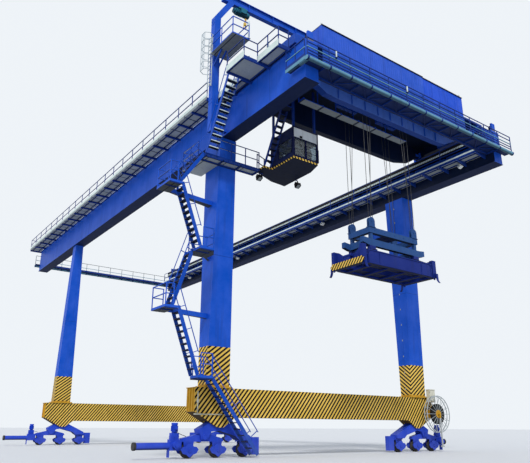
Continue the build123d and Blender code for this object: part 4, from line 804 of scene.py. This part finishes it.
class CRANE_OT_sills(bpy.types.Operator):
    """Fit the sills and legs: end ribs, collar gussets and bolts, lugs, conduits and hatches."""
    bl_idname = "crane.sills"
    bl_label = "Sills and legs"

    def execute(self, context):
        ribs, conduits = Build("amber"), Build("zinc")
        bolts, clips = [], []
        for side, end in CORNERS:
            x, y = side * LEG_X, end * LEG_Y
            tip = side * 4.675
            for offset in (-0.13, 0.0, 0.13):
                ribs.block((tip, side * 4.70), about(y + offset, 0.008), (1.13, 1.70))
            ribs.block((tip, side * 4.705), about(y, 0.215), (1.700, 1.722))
            ribs.block((tip, side * 4.690), about(y, 0.19), (1.118, 1.136))
            lug = 0.213 if end < 0 else 0.185
            for face in SIDES:
                for offset in (-0.30, -0.10, 0.10, 0.30):
                    outline = [(y + face * a, z) for a, z in ((0.217, 1.724), (0.262, 1.724), (0.217, 1.655))]
                    ribs.plate(outline, *about(x + offset, 0.006), "x")
                bolts += [((a, y + face * 0.245, 1.764), X, Z) for a in spread(*about(x, 0.40), 0.10)]
                bolts += [((x + face * 0.405, a, 1.764), X, Z) for a in spread(*about(y, 0.19), 0.095)]
                for middle in about(x, 0.2):
                    outline = [(middle + a, z) for a, z in ((-0.02, 2.86), (0.02, 2.86), (0.012, 2.92), (-0.012, 2.92))]
                    ribs.plate(outline, y + face * lug, y + face * (lug + 0.018), "y", "structure")
        conduits.tube([(x, -6.745, 1.055) for x in (-4.70, -4.3, -3.86)], 0.014, "cream")
        conduits.tube([(-4.60, -6.745, 1.06), (-4.60, -6.745, 1.56), (-4.60, -6.735, 1.62)], 0.016, "cream")
        conduits.block((-4.62, -4.58), (-6.775, -6.716), (1.34, 1.42), "cream")
        clips += [((x, -6.733, 1.055), X, (0, -1, 0)) for x in spread(-4.5, -3.95, 0.5)]
        for side in SIDES:
            foot, head, taper = 0.345, 0.262, 0.083 / 7.19
            conduits.tube([(side * (LEG_X - foot), -LEG_Y, 1.76), (side * (LEG_X - head), -LEG_Y, 8.93)], 0.016,
                          "structure")
            clips += [((side * (LEG_X - foot + (z - 1.757) * taper), -LEG_Y, z), Y, (-side, 0, 0), (1, 1, 1.2))
                      for z in spread(2.0, 8.6, 0.55)]
            ribs.block(about(side * LEG_X, 0.13), (6.686, 6.698), (2.98, 3.36), "structure")
            bolts += [((x, 6.701, z), X, Y, 0.6) for x in about(side * LEG_X, 0.11) for z in (3.0, 3.12, 3.22, 3.34)]
        ribs.done("sill_ribs", "frame", "structure_blue")
        conduits.done("sill_conduits", "frame", "galvanised", 0)
        bolt_heads("flange_bolts", "frame", "structure_blue", "amber", bolts, 0.018)
        bars("conduit_clips", "frame", "galvanised", "zinc", clips, 0.03, 0.05, 0.04)
        return {"FINISHED"}


class CRANE_OT_girders(bpy.types.Operator):
    """Fit the girders: rail clips and stops, energy chain links, walkway floodlights and deck joists."""
    bl_idname = "crane.girders"
    bl_label = "Girders"

    def execute(self, context):
        sizes = context.scene.crane_sizes
        clips = [((side * LEG_X + face * 0.062, y, 10.124), X, Z) for side, face in CORNERS
                 for y in spread(-10.5, 12.1, sizes.clip)]
        links = [((3.635, y, 9.945), X, Z, (1, 1, 1 if round(y / sizes.link) % 2 else 0.8))
                 for y in spread(-10.28, 11.95, sizes.link)]
        joists = [((x, (low + high) / 2, z), Y, Z, (high - low, 1, 1)) for low, high, z, places in
                  ((-6.9, 12.4, 10.066, (-4.70, -4.40)), (-10.4, 12.1, 9.302, (3.42, 3.68))) for x in places]
        fit = Build("rubber")
        for x, y in ((3.619, -9.62), (3.70, -2.47), (3.66, 4.2), (3.66, 9.4)):
            fit.at = (x, y, 9.20)
            fit.block(0.012, 0.012, (0, 0.118), "zinc")
            fit.plate([(-0.075, -0.03), (0.045, -0.085), (0.075, -0.02), (-0.045, 0.03)], -0.085, 0.085, "x", "cab")
            fit.plate([(-0.078, -0.032), (0.048, -0.090), (0.052, -0.082), (-0.074, -0.024)], -0.07, 0.07, "x", "lens")
            for face in SIDES:
                fit.block((face * 0.088, face * 0.10), 0.03, 0.05, "zinc")
        for side in SIDES:
            for y in (-10.71, 12.29):
                fit.at = (side * LEG_X, y, 10.24)
                fit.block(0.06, (0, 0.08), (0, 0.12))
        fit.done("girder_lamps", "frame", "rail_white", 0.002)
        bars("rail_clips", "frame", "galvanised", "steel", clips, 0.045, 0.06, 0.018)
        bars("energy_chain", "frame", "chain_black", "rubber", links, 0.19, 0.8 * sizes.link, 0.05)
        bars("deck_joists", "frame", "structure_blue", "rail", joists, 1.0, 0.03, 0.03)
        return {"FINISHED"}


def treads(node):
    """Lowest and highest corners of each tread, read from the flight's own faces."""
    mesh = NODES[node].data
    levels = {}
    for face in mesh.polygons:
        if face.normal.z > 0.95:
            points = [mesh.vertices[i].co for i in face.vertices]
            levels.setdefault(round(points[0].z, 3), []).extend(points)
    for z, points in sorted(levels.items()):
        low, high = ([pick(p[i] for p in points) for i in range(2)] for pick in (min, max))
        deep, wide = sorted((high[0] - low[0], high[1] - low[1]))
        if 0.08 < deep < 0.16 and 0.25 < wide < 0.45:
            yield low, high, z


class CRANE_OT_stairs(bpy.types.Operator):
    """Fit the stair tower: nosings on the treads, joists under the landings, and a lamp's foot."""
    bl_idname = "crane.stairs"
    bl_label = "Stairs"

    def execute(self, context):
        nosings = {"low": [], "high": []}
        for node in [name for name in NODES if name.startswith("stair_flight_")]:
            for low, high, z in treads(node):
                span = max(high[0] - low[0], high[1] - low[1]) - 0.03
                for edge in (low, high):
                    if high[1] - low[1] > high[0] - low[0]:
                        place, along = (edge[0], (low[1] + high[1]) / 2, z - 0.006), Y
                    else:
                        place, along = ((low[0] + high[0]) / 2, edge[1], z - 0.006), X
                    nosings["high" if z > 8.0 else "low"].append((place, along, Z, (span, 1, 1)))
        for group, paint in (("low", "trim"), ("high", "pale")):
            bars(f"tread_nosings_{group}", "frame", "galvanised", paint, nosings[group], 1.0, 0.008, 0.026)
        joists = Build("rail")
        for low, high, z in ((-5.095, -4.67, 1.88), (-6.08, -5.73, 3.505), (-5.165, -4.76, 5.155),
                             (-6.16, -5.80, 6.805)):
            for y in (-7.57, -7.29):
                joists.block((low, high), about(y, 0.012), (z - 0.028, z + 0.002))
        for x in (-4.93, -4.35, -3.75, -3.12):
            joists.block(about(x, 0.02), (-7.245, -6.915), (7.995, 8.047))
        for y in (-7.225, -6.93):
            joists.block((-4.945, -3.105), about(y, 0.02), (7.995, 8.047))
        for x, y in (((-5.07, -4.28), (-9.31, -8.44)), ((-4.63, -4.28), (-10.24, -9.32)),
                     ((-4.535, -4.28), (-8.43, -6.94))):
            for middle in (y[0] + 0.02, y[1] - 0.02):
                joists.block(x, about(middle, 0.02), (10.03, 10.087))
            for middle in (x[0] + 0.02, x[1] - 0.02):
                joists.block(about(middle, 0.02), y, (10.03, 10.087))
        joists.at = (-4.28, -9.30, 10)
        joists.post(0, 0, 0.12, 0.88, 0.012, "pale")
        joists.post(0, 0, 0.80, 0.90, 0.024, "pale", 10)
        joists.block(0.05, 0.06, (0.116, 0.19), "pale")
        joists.done("landing_joists", "frame", "structure_blue")
        return {"FINISHED"}


class CRANE_OT_portal(bpy.types.Operator):
    """Fit the service portal: bracket bolts, the hoist's motor, brake, chain and pendant, and walkway lamps."""
    bl_idname = "crane.portal"
    bl_label = "Service portal"

    def execute(self, context):
        bolts = [((side * 4.783, y, z), Y, (side, 0, 0)) for side in SIDES for y in (-7.155, -7.075, -6.995)
                 for level in (9.90, 12.75) for z in about(level, 0.06)]
        x, y, z = -3.72, -7.075, 13.59
        hoist = Build("teal")
        hoist.at = (x, y, z)
        hoist.tube([(-0.33, 0, 0), (-0.29, 0, 0), (-0.285, 0, 0)], 0.085, sides=14)
        hoist.tube([(0.198, 0, 0), (0.26, 0, 0)], 0.092, sides=14)
        hoist.block(0.10, (-0.15, -0.10), (-0.07, 0.06))
        hoist.wire([(0.02, -0.12, 0.02), (0.10, -0.17, -0.10), (0.05, -0.16, -0.28)], 0.008, "rubber")
        hoist.block((0.025, 0.075), (-0.175, -0.145), (-0.40, -0.28), "amber")
        link = [(-0.006, -0.002), (0.006, -0.002), (0.006, 0.002), (-0.006, 0.002)]
        for top in spread(-0.30, -0.12, 0.02):
            for side in SIDES:
                hoist.sweep([(0.13 + side * 0.004, 0, top), (0.13 - side * 0.004, 0, top - 0.015)], link, "steel")
        hoist.done("hoist_motor", "frame", "hoist_teal")
        fins = [((x - 0.12, y + 0.108 * a, z + 0.108 * b), X, (0, a, b)) for a, b in circle(16, 1)]
        lamps = Build("pale")
        for foot, tall in (((-4.28, -9.30, 10.115), 0.745), ((-4.34, -8.41, 11.5), 0.62)):
            lamps.at = foot
            lamps.post(0, 0, 0, tall, 0.016)
            lamps.post(0, 0, tall - 0.16, tall, 0.034, sides=10)
            lamps.block(0.05, 0.05, (0, 0.02))
        lamps.done("walkway_lamps", "frame", "rail_white")
        bolt_heads("mast_bolts", "frame", "structure_blue", "structure", bolts, 0.02)
        bars("hoist_fins", "frame", "hoist_teal", "teal", fins, 0.24, 0.006, 0.016)
        return {"FINISHED"}


class CRANE_OT_ties(bpy.types.Operator):
    """Fit the end walkways: tube clamps, rail lamps, cabinet doors and louvres."""
    bl_idname = "crane.ties"
    bl_label = "End walkways"

    def execute(self, context):
        clamps = [((x, y, 9.30), Z, X) for y in (-11.075, 12.735)
                  for x in spread(-4.38, 4.38, context.scene.crane_sizes.tie_post)]
        slats = [((x, -10.99, z), X, (0, -1, 0)) for z in spread(9.44, 9.56, 0.04) for x in (3.08, 3.41)]
        fit = Build("pale")
        for x in (-3.43, -0.73):
            fit.post(x, -11.105, 9.68, 9.86, 0.021, sides=10)
            fit.block(about(x, 0.026), (-11.13, -11.06), (9.66, 9.68), "rail")
            fit.post(x, -11.105, 9.86, 9.88, 0.015, "rubber", 10)
        for x in (2.92, 3.25):
            fit.block((x + 0.01, x + 0.32), (-10.988, -10.981), (9.39, 9.84), "structure")
            fit.wire([(x + 0.28, -10.99, 9.60), (x + 0.28, -11.0, 9.62), (x + 0.28, -10.99, 9.64)])
        fit.done("tie_fittings", "frame", "rail_white")
        bolt_heads("tube_clamps", "frame", "structure_blue", "rail", clamps, 0.05, 0.067, 14)
        bars("cabinet_louvres", "frame", "structure_blue", "rail", slats, 0.16, 0.012, 0.008)
        return {"FINISHED"}


class CRANE_OT_houses(bpy.types.Operator):
    """Fit the plant houses: cladding ribs, doors, louvres, roof hatches, gutters, lifting eyes and lamps."""
    bl_idname = "crane.houses"
    bl_label = "Plant houses"

    def execute(self, context):
        sizes = context.scene.crane_sizes
        near, back, floor = -10.275, -8.175, 10.62

        def cladding(low, high, end, top, pitch, margin):
            """Upright strips on both long walls and on the end wall."""
            walls = [(x, y, (0, out, 0)) for x in spread(low, high, pitch) for y, out in ((near, -1), (back, 1))]
            walls += [(end * 3.15, y, (end, 0, 0)) for y in spread(near + margin, back - margin, pitch)]
            return [((x, y, (floor + top) / 2), Z, out, (top - floor, 1, 1)) for x, y, out in walls]

        ribs = cladding(-3.11, 1.10, -1, 11.35, sizes.rib, 0.05)
        seams = cladding(1.17, 3.13, 1, 11.32, sizes.seam, 0.03)
        slats = [((-3.165, -9.2, z), Y, (-0.8, 0, 0.6)) for z in spread(floor + 0.30, floor + 0.58, 0.035)]
        fit = Build("trim")
        fit.block((-3.165, -3.152), (-9.42, -8.98), (floor + 0.27, floor + 0.61))
        for x in (-3.1, 3.1):
            fit.post(x, near + 0.05, 11.33, 11.47, 0.010, "pale")
            fit.post(x, near + 0.05, 11.43, 11.49, 0.022, "lens", 10)
        for low, high, top in ((-3.15, 1.135, 11.38), (1.135, 3.15, 11.35)):
            fit.at = (0, 0, top)
            fit.block((low, high), (back + 0.026, back + 0.05), (-0.045, -0.005))
            fit.block(about((low + high) / 2, 0.30), (near + 0.75, near + 1.25), (-0.003, 0.07), "structure")
            for x in spread(low + 0.3, high - 0.3, 1.4):
                for y in (near + 0.35, back - 0.35):
                    fit.wire([(x + a, y, z) for a, z in
                              ((-0.03, -0.003), (-0.028, 0.03), (0, 0.045), (0.028, 0.03), (0.03, -0.003))], 0.007)
        for x in (-2.4, 0.45, 2.0):
            fit.at = (x, back, floor)
            fit.block((-0.03, 0.41), (0.002, 0.014), (0.01, 0.70))
            fit.block((0, 0.38), (0.012, 0.022), (0.03, 0.67), "structure")
            fit.wire([(0.33, 0.022, 0.33), (0.33, 0.045, 0.33), (0.33, 0.045, 0.43), (0.33, 0.022, 0.43)])
            for z in (0.12, 0.56):
                fit.post(0, 0.02, z - 0.03, z + 0.03, 0.009, "steel", 6)
        for x in (-1.4, 2.75):
            fit.at = (x, back, floor)
            fit.block(0.21, (0.002, 0.012), (0.28, 0.62))
            slats += [((x, back + 0.018, z), X, (0, 0.8, 0.6)) for z in spread(floor + 0.31, floor + 0.59, 0.035)]
        fit.done("house_fittings", "trolley", "house_blue")
        bars("house_ribs", "trolley", "house_light", "cladding rib", ribs, 1.0, 0.020, 0.005)
        bars("house_seams", "trolley", "house_blue", "cabinet rib", seams, 1.0, 0.012, 0.004)
        bars("house_louvres", "trolley", "house_blue", "trim", slats, 0.38, 0.03, 0.004)
        return {"FINISHED"}


class CRANE_OT_trolley(bpy.types.Operator):
    """Fit the trolley: drive gearboxes, motors and carriage bolts."""
    bl_idname = "crane.trolley"
    bl_label = "Trolley"

    def execute(self, context):
        bolts, fit = [], Build("structure")
        for side in SIDES:
            for y in (-10.035, -7.755):
                fit.at = (side * LEG_X, y, 10.34)
                fit.tube([(side * -0.14, 0, 0), (side * -0.36, 0, 0)], 0.075, sides=14)
                fit.block((side * -0.135, side * -0.20), 0.11, (-0.10, 0.12))
                bolts += [((side * 3.795, y + 0.08 * a, 10.35 + 0.08 * b), Y, (-side, 0, 0)) for a, b in CORNERS]
            bolts += [((side * 4.133, y, 10.55), Y, (side, 0, 0), (0.8, 0.8, 0.6)) for y in spread(-9.9, -7.9, 0.25)]
        fit.done("trolley_fittings", "trolley", "trolley_dark")
        bolt_heads("trolley_bolts", "trolley", "trolley_dark", "structure", bolts, 0.014)
        return {"FINISHED"}


class CRANE_OT_cab(bpy.types.Operator):
    """Fit the cab: guard rails, pane gaskets, wiper, corner posts, roof unit, desk and the floodlights' fins."""
    bl_idname = "crane.cab"
    bl_label = "Cab"

    def execute(self, context):
        low, high, middle = -2.775, -1.85, -2.3125
        rail = about(-0.045, 0.006)
        fit = Build("trim")
        fit.at = (0, -8.5, 0)
        for x0, x1 in ((-2.73, -2.3275), (-2.2975, -1.895)):
            for x in (x0, x1):
                fit.block(about(x, 0.012), (-0.008, 0.002), (8.18, 8.78))
            for z in (8.19, 8.77):
                fit.block((x0, x1), (-0.008, 0.002), about(z, 0.012))
        for x, out in ((low, -0.008), (high, 0.008)):
            fit.block(about(x, 0.018), (-0.018, 0.012), (8.152, 9.115))
            for y in (0.06, 0.70):
                fit.block((x, x + out), about(y, 0.012), (8.28, 8.78))
            for z in (8.29, 8.77):
                fit.block((x, x + out), (0.06, 0.70), about(z, 0.012))
        fit.block((low - 0.018, high + 0.018), (-0.02, 0.005), (9.085, 9.115))
        for z in (8.36, 8.56):
            fit.block((middle, high + 0.01), rail, about(z, 0.006))
        for x in (middle, high):
            fit.block(about(x, 0.006), rail, (8.16, 8.57))
            for z in (8.20, 8.54):
                fit.block(about(x, 0.006), (-0.045, 0), about(z, 0.006))
        fit.wire([(-2.52, -0.012, 8.75), (-2.50, -0.014, 8.60), (-2.44, -0.012, 8.42)], 0.006, "rubber")
        fit.block((-2.53, -2.45), (-0.03, -0.005), (8.79, 8.85), "rubber")
        fit.block((-2.55, -2.08), (0.40, 0.80), (9.108, 9.26), "cab")
        for z in spread(9.135, 9.235, 0.025):
            fit.block((-2.50, -2.13), (0.392, 0.402), about(z, 0.004), "rubber")
        fit.block((-2.62, -2.0), (0.10, 0.30), (8.20, 8.52), "rubber")
        fit.plate([(0.07, 8.50), (0.30, 8.50), (0.30, 8.55), (0.12, 8.58)], -2.60, -2.02, "x", "cab")
        fins = []
        for x, y in ((-2.955, -7.06), (-1.65, -7.30)):
            fit.at = (x, y, 8.09)
            fit.plate([(-0.086, -0.193), (0.05, -0.256), (0.056, -0.246), (-0.078, -0.183)], -0.05, 0.05, "x", "zinc")
            for side in SIDES:
                fit.block((side * 0.081, side * 0.092), 0.03, (-0.19, -0.07), "rubber")
            fins += [((x + a, y + 0.018, 7.992), Y, (0, 0.2, 0.98)) for a in spread(-0.07, 0.07, 0.02)]
        fit.done("cab_fittings", "trolley", "cab_white", 0.002)
        bars("lamp_fins", "trolley", "trolley_dark", "rubber", fins, 0.10, 0.005, 0.03)
        return {"FINISHED"}


class CRANE_OT_load(bpy.types.Operator):
    """Fit headblock and spreader: sheave bolts, cheeks, edge strips, drive boxes, cylinders and hoses."""
    bl_idname = "crane.load"
    bl_label = "Load gear"

    def execute(self, context):
        head, gear = Build("headblock"), Build("spreader")
        bolts = []
        for i, j in CORNERS:
            x, y = i * SHEAVE_X, LOAD_Y + j * SHEAVE_Y
            head.at = (x, y, 0)
            for face in SIDES:
                bolts += [((x + a, y + face * 0.049, 6.235 + b), X, (0, face, 0), (0.6, 0.6, 0.8))
                          for a, b in circle(6, 0.085)]
                for a in (-0.10, 0.085):
                    head.block((a, a + 0.015), (face * 0.046 - 0.004, face * 0.046 + 0.012), (6.045, 6.14))
            head.block(0.13, 0.07, (6.043, 6.06))
        head.at = gear.at = (0, LOAD_Y, 0)
        head.block(0.30, 0.20, (5.93, 6.10), "structure")
        head.wire([(-0.2, 0, 6.10), (-0.2, 0, 6.13), (-0.1, 0, 6.16), (0.1, 0, 6.16), (0.2, 0, 6.10)], 0.012, "rubber")
        head.done("headblock_fittings", "hoist", "spreader_teal")
        gear.block((0.62, 1.0), 0.16, (5.30, 5.47))
        for face in SIDES:
            y = LOAD_Y + face * 0.612
            gear.at = (0, y, 0)
            skin = (0, face * 0.012)
            gear.block(1.30, skin, (5.262, 5.296))
            gear.block(1.30, skin, (4.905, 4.935))
            for x in (-1.28, -0.86, 0.86, 1.28):
                gear.block(about(x, 0.012), skin, (4.935, 5.262))
            for depth, z, reach, pitch, size in ((0.432, 5.96, 0.8, 0.4, 0.9), (0.626, 5.279, 1.2, 0.2, 0.5)):
                bolts += [((x, LOAD_Y + face * depth, z), X, (0, face, 0), (size, size, 0.8))
                          for x in spread(-reach, reach, pitch)]
            gear.block((-1.02, -0.72), (face * -0.20, face * -0.44), (5.30, 5.43))
            gear.tube([(-0.68, face * -0.30, 5.34), (0.5, face * -0.30, 5.34)], 0.032, "steel", 10)
            gear.tube([(-0.72, face * -0.30, 5.34), (-0.2, face * -0.30, 5.34)], 0.048, sides=12)
            for hose in (((-0.75, -0.22, 5.40), (-0.9, -0.12, 5.37), (-1.1, -0.08, 5.33), (-1.28, -0.05, 5.31)),
                         ((0.5, -0.22, 5.36), (0.8, -0.12, 5.37), (1.1, -0.08, 5.33), (1.28, -0.05, 5.31))):
                gear.wire([(x, face * a, z) for x, a, z in hose], 0.012, "rubber")
        gear.done("spreader_fittings", "hoist", "spreader_blue")
        bolt_heads("load_bolts", "hoist", "spreader_teal", "headblock", bolts, 0.014)
        return {"FINISHED"}


class CRANE_OT_ropes(bpy.types.Operator):
    """Hang the rope falls and hide the model's own hoist ropes."""
    bl_idname = "crane.ropes"
    bl_label = "Rope falls"

    def execute(self, context):
        low, high = 6.352, 10.148
        falls = Build("rope")
        for side, end in CORNERS:
            x, y = side * SHEAVE_X, LOAD_Y + end * SHEAVE_Y
            for offset, lean in ((-0.08, 0.0), (0.08, 0.0), (0.0, 0.26)):
                falls.tube([(x + offset, y, low), (x + offset - side * lean, y, high)], 0.008, sides=10)
        made = falls.done("rope_falls", ("trolley", "hoist", (0, 0, high), (0, 0, low)), "wire_rope", 0)
        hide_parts("hoist_ropes")
        return {"FINISHED"}


class CRANE_OT_reel(bpy.types.Operator):
    """Fit the cable reel: the hub's bolts and the power cabinet's door, hinges and roof."""
    bl_idname = "crane.reel"
    bl_label = "Cable reel"

    def execute(self, context):
        bolts = [((REEL_X + a, REEL_Y + face * 0.064, REEL_Z + b), X, (0, face, 0), 0.7) for face in SIDES
                 for a, b in circle(8, 0.105, 0.5)]
        bolt_heads("reel_bolts", "reel", "reel_cream", "amber", bolts, 0.014)
        stand = Build("cream")
        stand.at = (0, -6.93, 1.58)
        stand.block((4.355, 4.605), (-0.010, 0.001), (0.02, 0.38))
        stand.block((4.33, 4.63), (-0.015, 0.15), (0.40, 0.42))
        stand.wire([(4.58, -0.010, 0.18), (4.58, -0.024, 0.19), (4.58, -0.010, 0.22)], 0.005)
        for z in (0.06, 0.30):
            stand.post(4.352, -0.008, z, z + 0.05, 0.007, "steel", 6)
        stand.done("power_cabinet", "frame", "reel_cream")
        return {"FINISHED"}


class CRANE_PT_panel(bpy.types.Panel):
    """Lists the crane's steps in the sidebar."""
    bl_idname = "CRANE_PT_panel"
    bl_label = "Gantry crane"
    bl_space_type = "VIEW_3D"
    bl_region_type = "UI"
    bl_category = "Crane"

    def draw(self, context):
        for step in STEPS:
            self.layout.operator(step.bl_idname)


SETTINGS = {"crane_paints": CranePaints, "crane_sizes": CraneSizes, "crane_view": CraneView}
STEPS = (CRANE_OT_stage, CRANE_OT_finishes, CRANE_OT_travel, CRANE_OT_sills, CRANE_OT_girders, CRANE_OT_stairs,
         CRANE_OT_portal, CRANE_OT_ties, CRANE_OT_houses, CRANE_OT_trolley, CRANE_OT_cab, CRANE_OT_load,
         CRANE_OT_ropes, CRANE_OT_reel)


def register():
    for group_class in SETTINGS.values():
        bpy.utils.register_class(group_class)
    for step in (*STEPS, CRANE_PT_panel):
        bpy.utils.register_class(step)
    for name, group_class in SETTINGS.items():
        setattr(bpy.types.Scene, name, PointerProperty(type=group_class))


def unregister():
    for name in SETTINGS:
        delattr(bpy.types.Scene, name)
    for step in (CRANE_PT_panel, *reversed(STEPS)):
        bpy.utils.unregister_class(step)
    for group_class in reversed(SETTINGS.values()):
        bpy.utils.unregister_class(group_class)


def main():
    """Build the scene."""
    register()
    for step in STEPS:
        area, name = step.bl_idname.split(".")
        getattr(getattr(bpy.ops, area), name)()


if __name__ == "__main__":
    main()
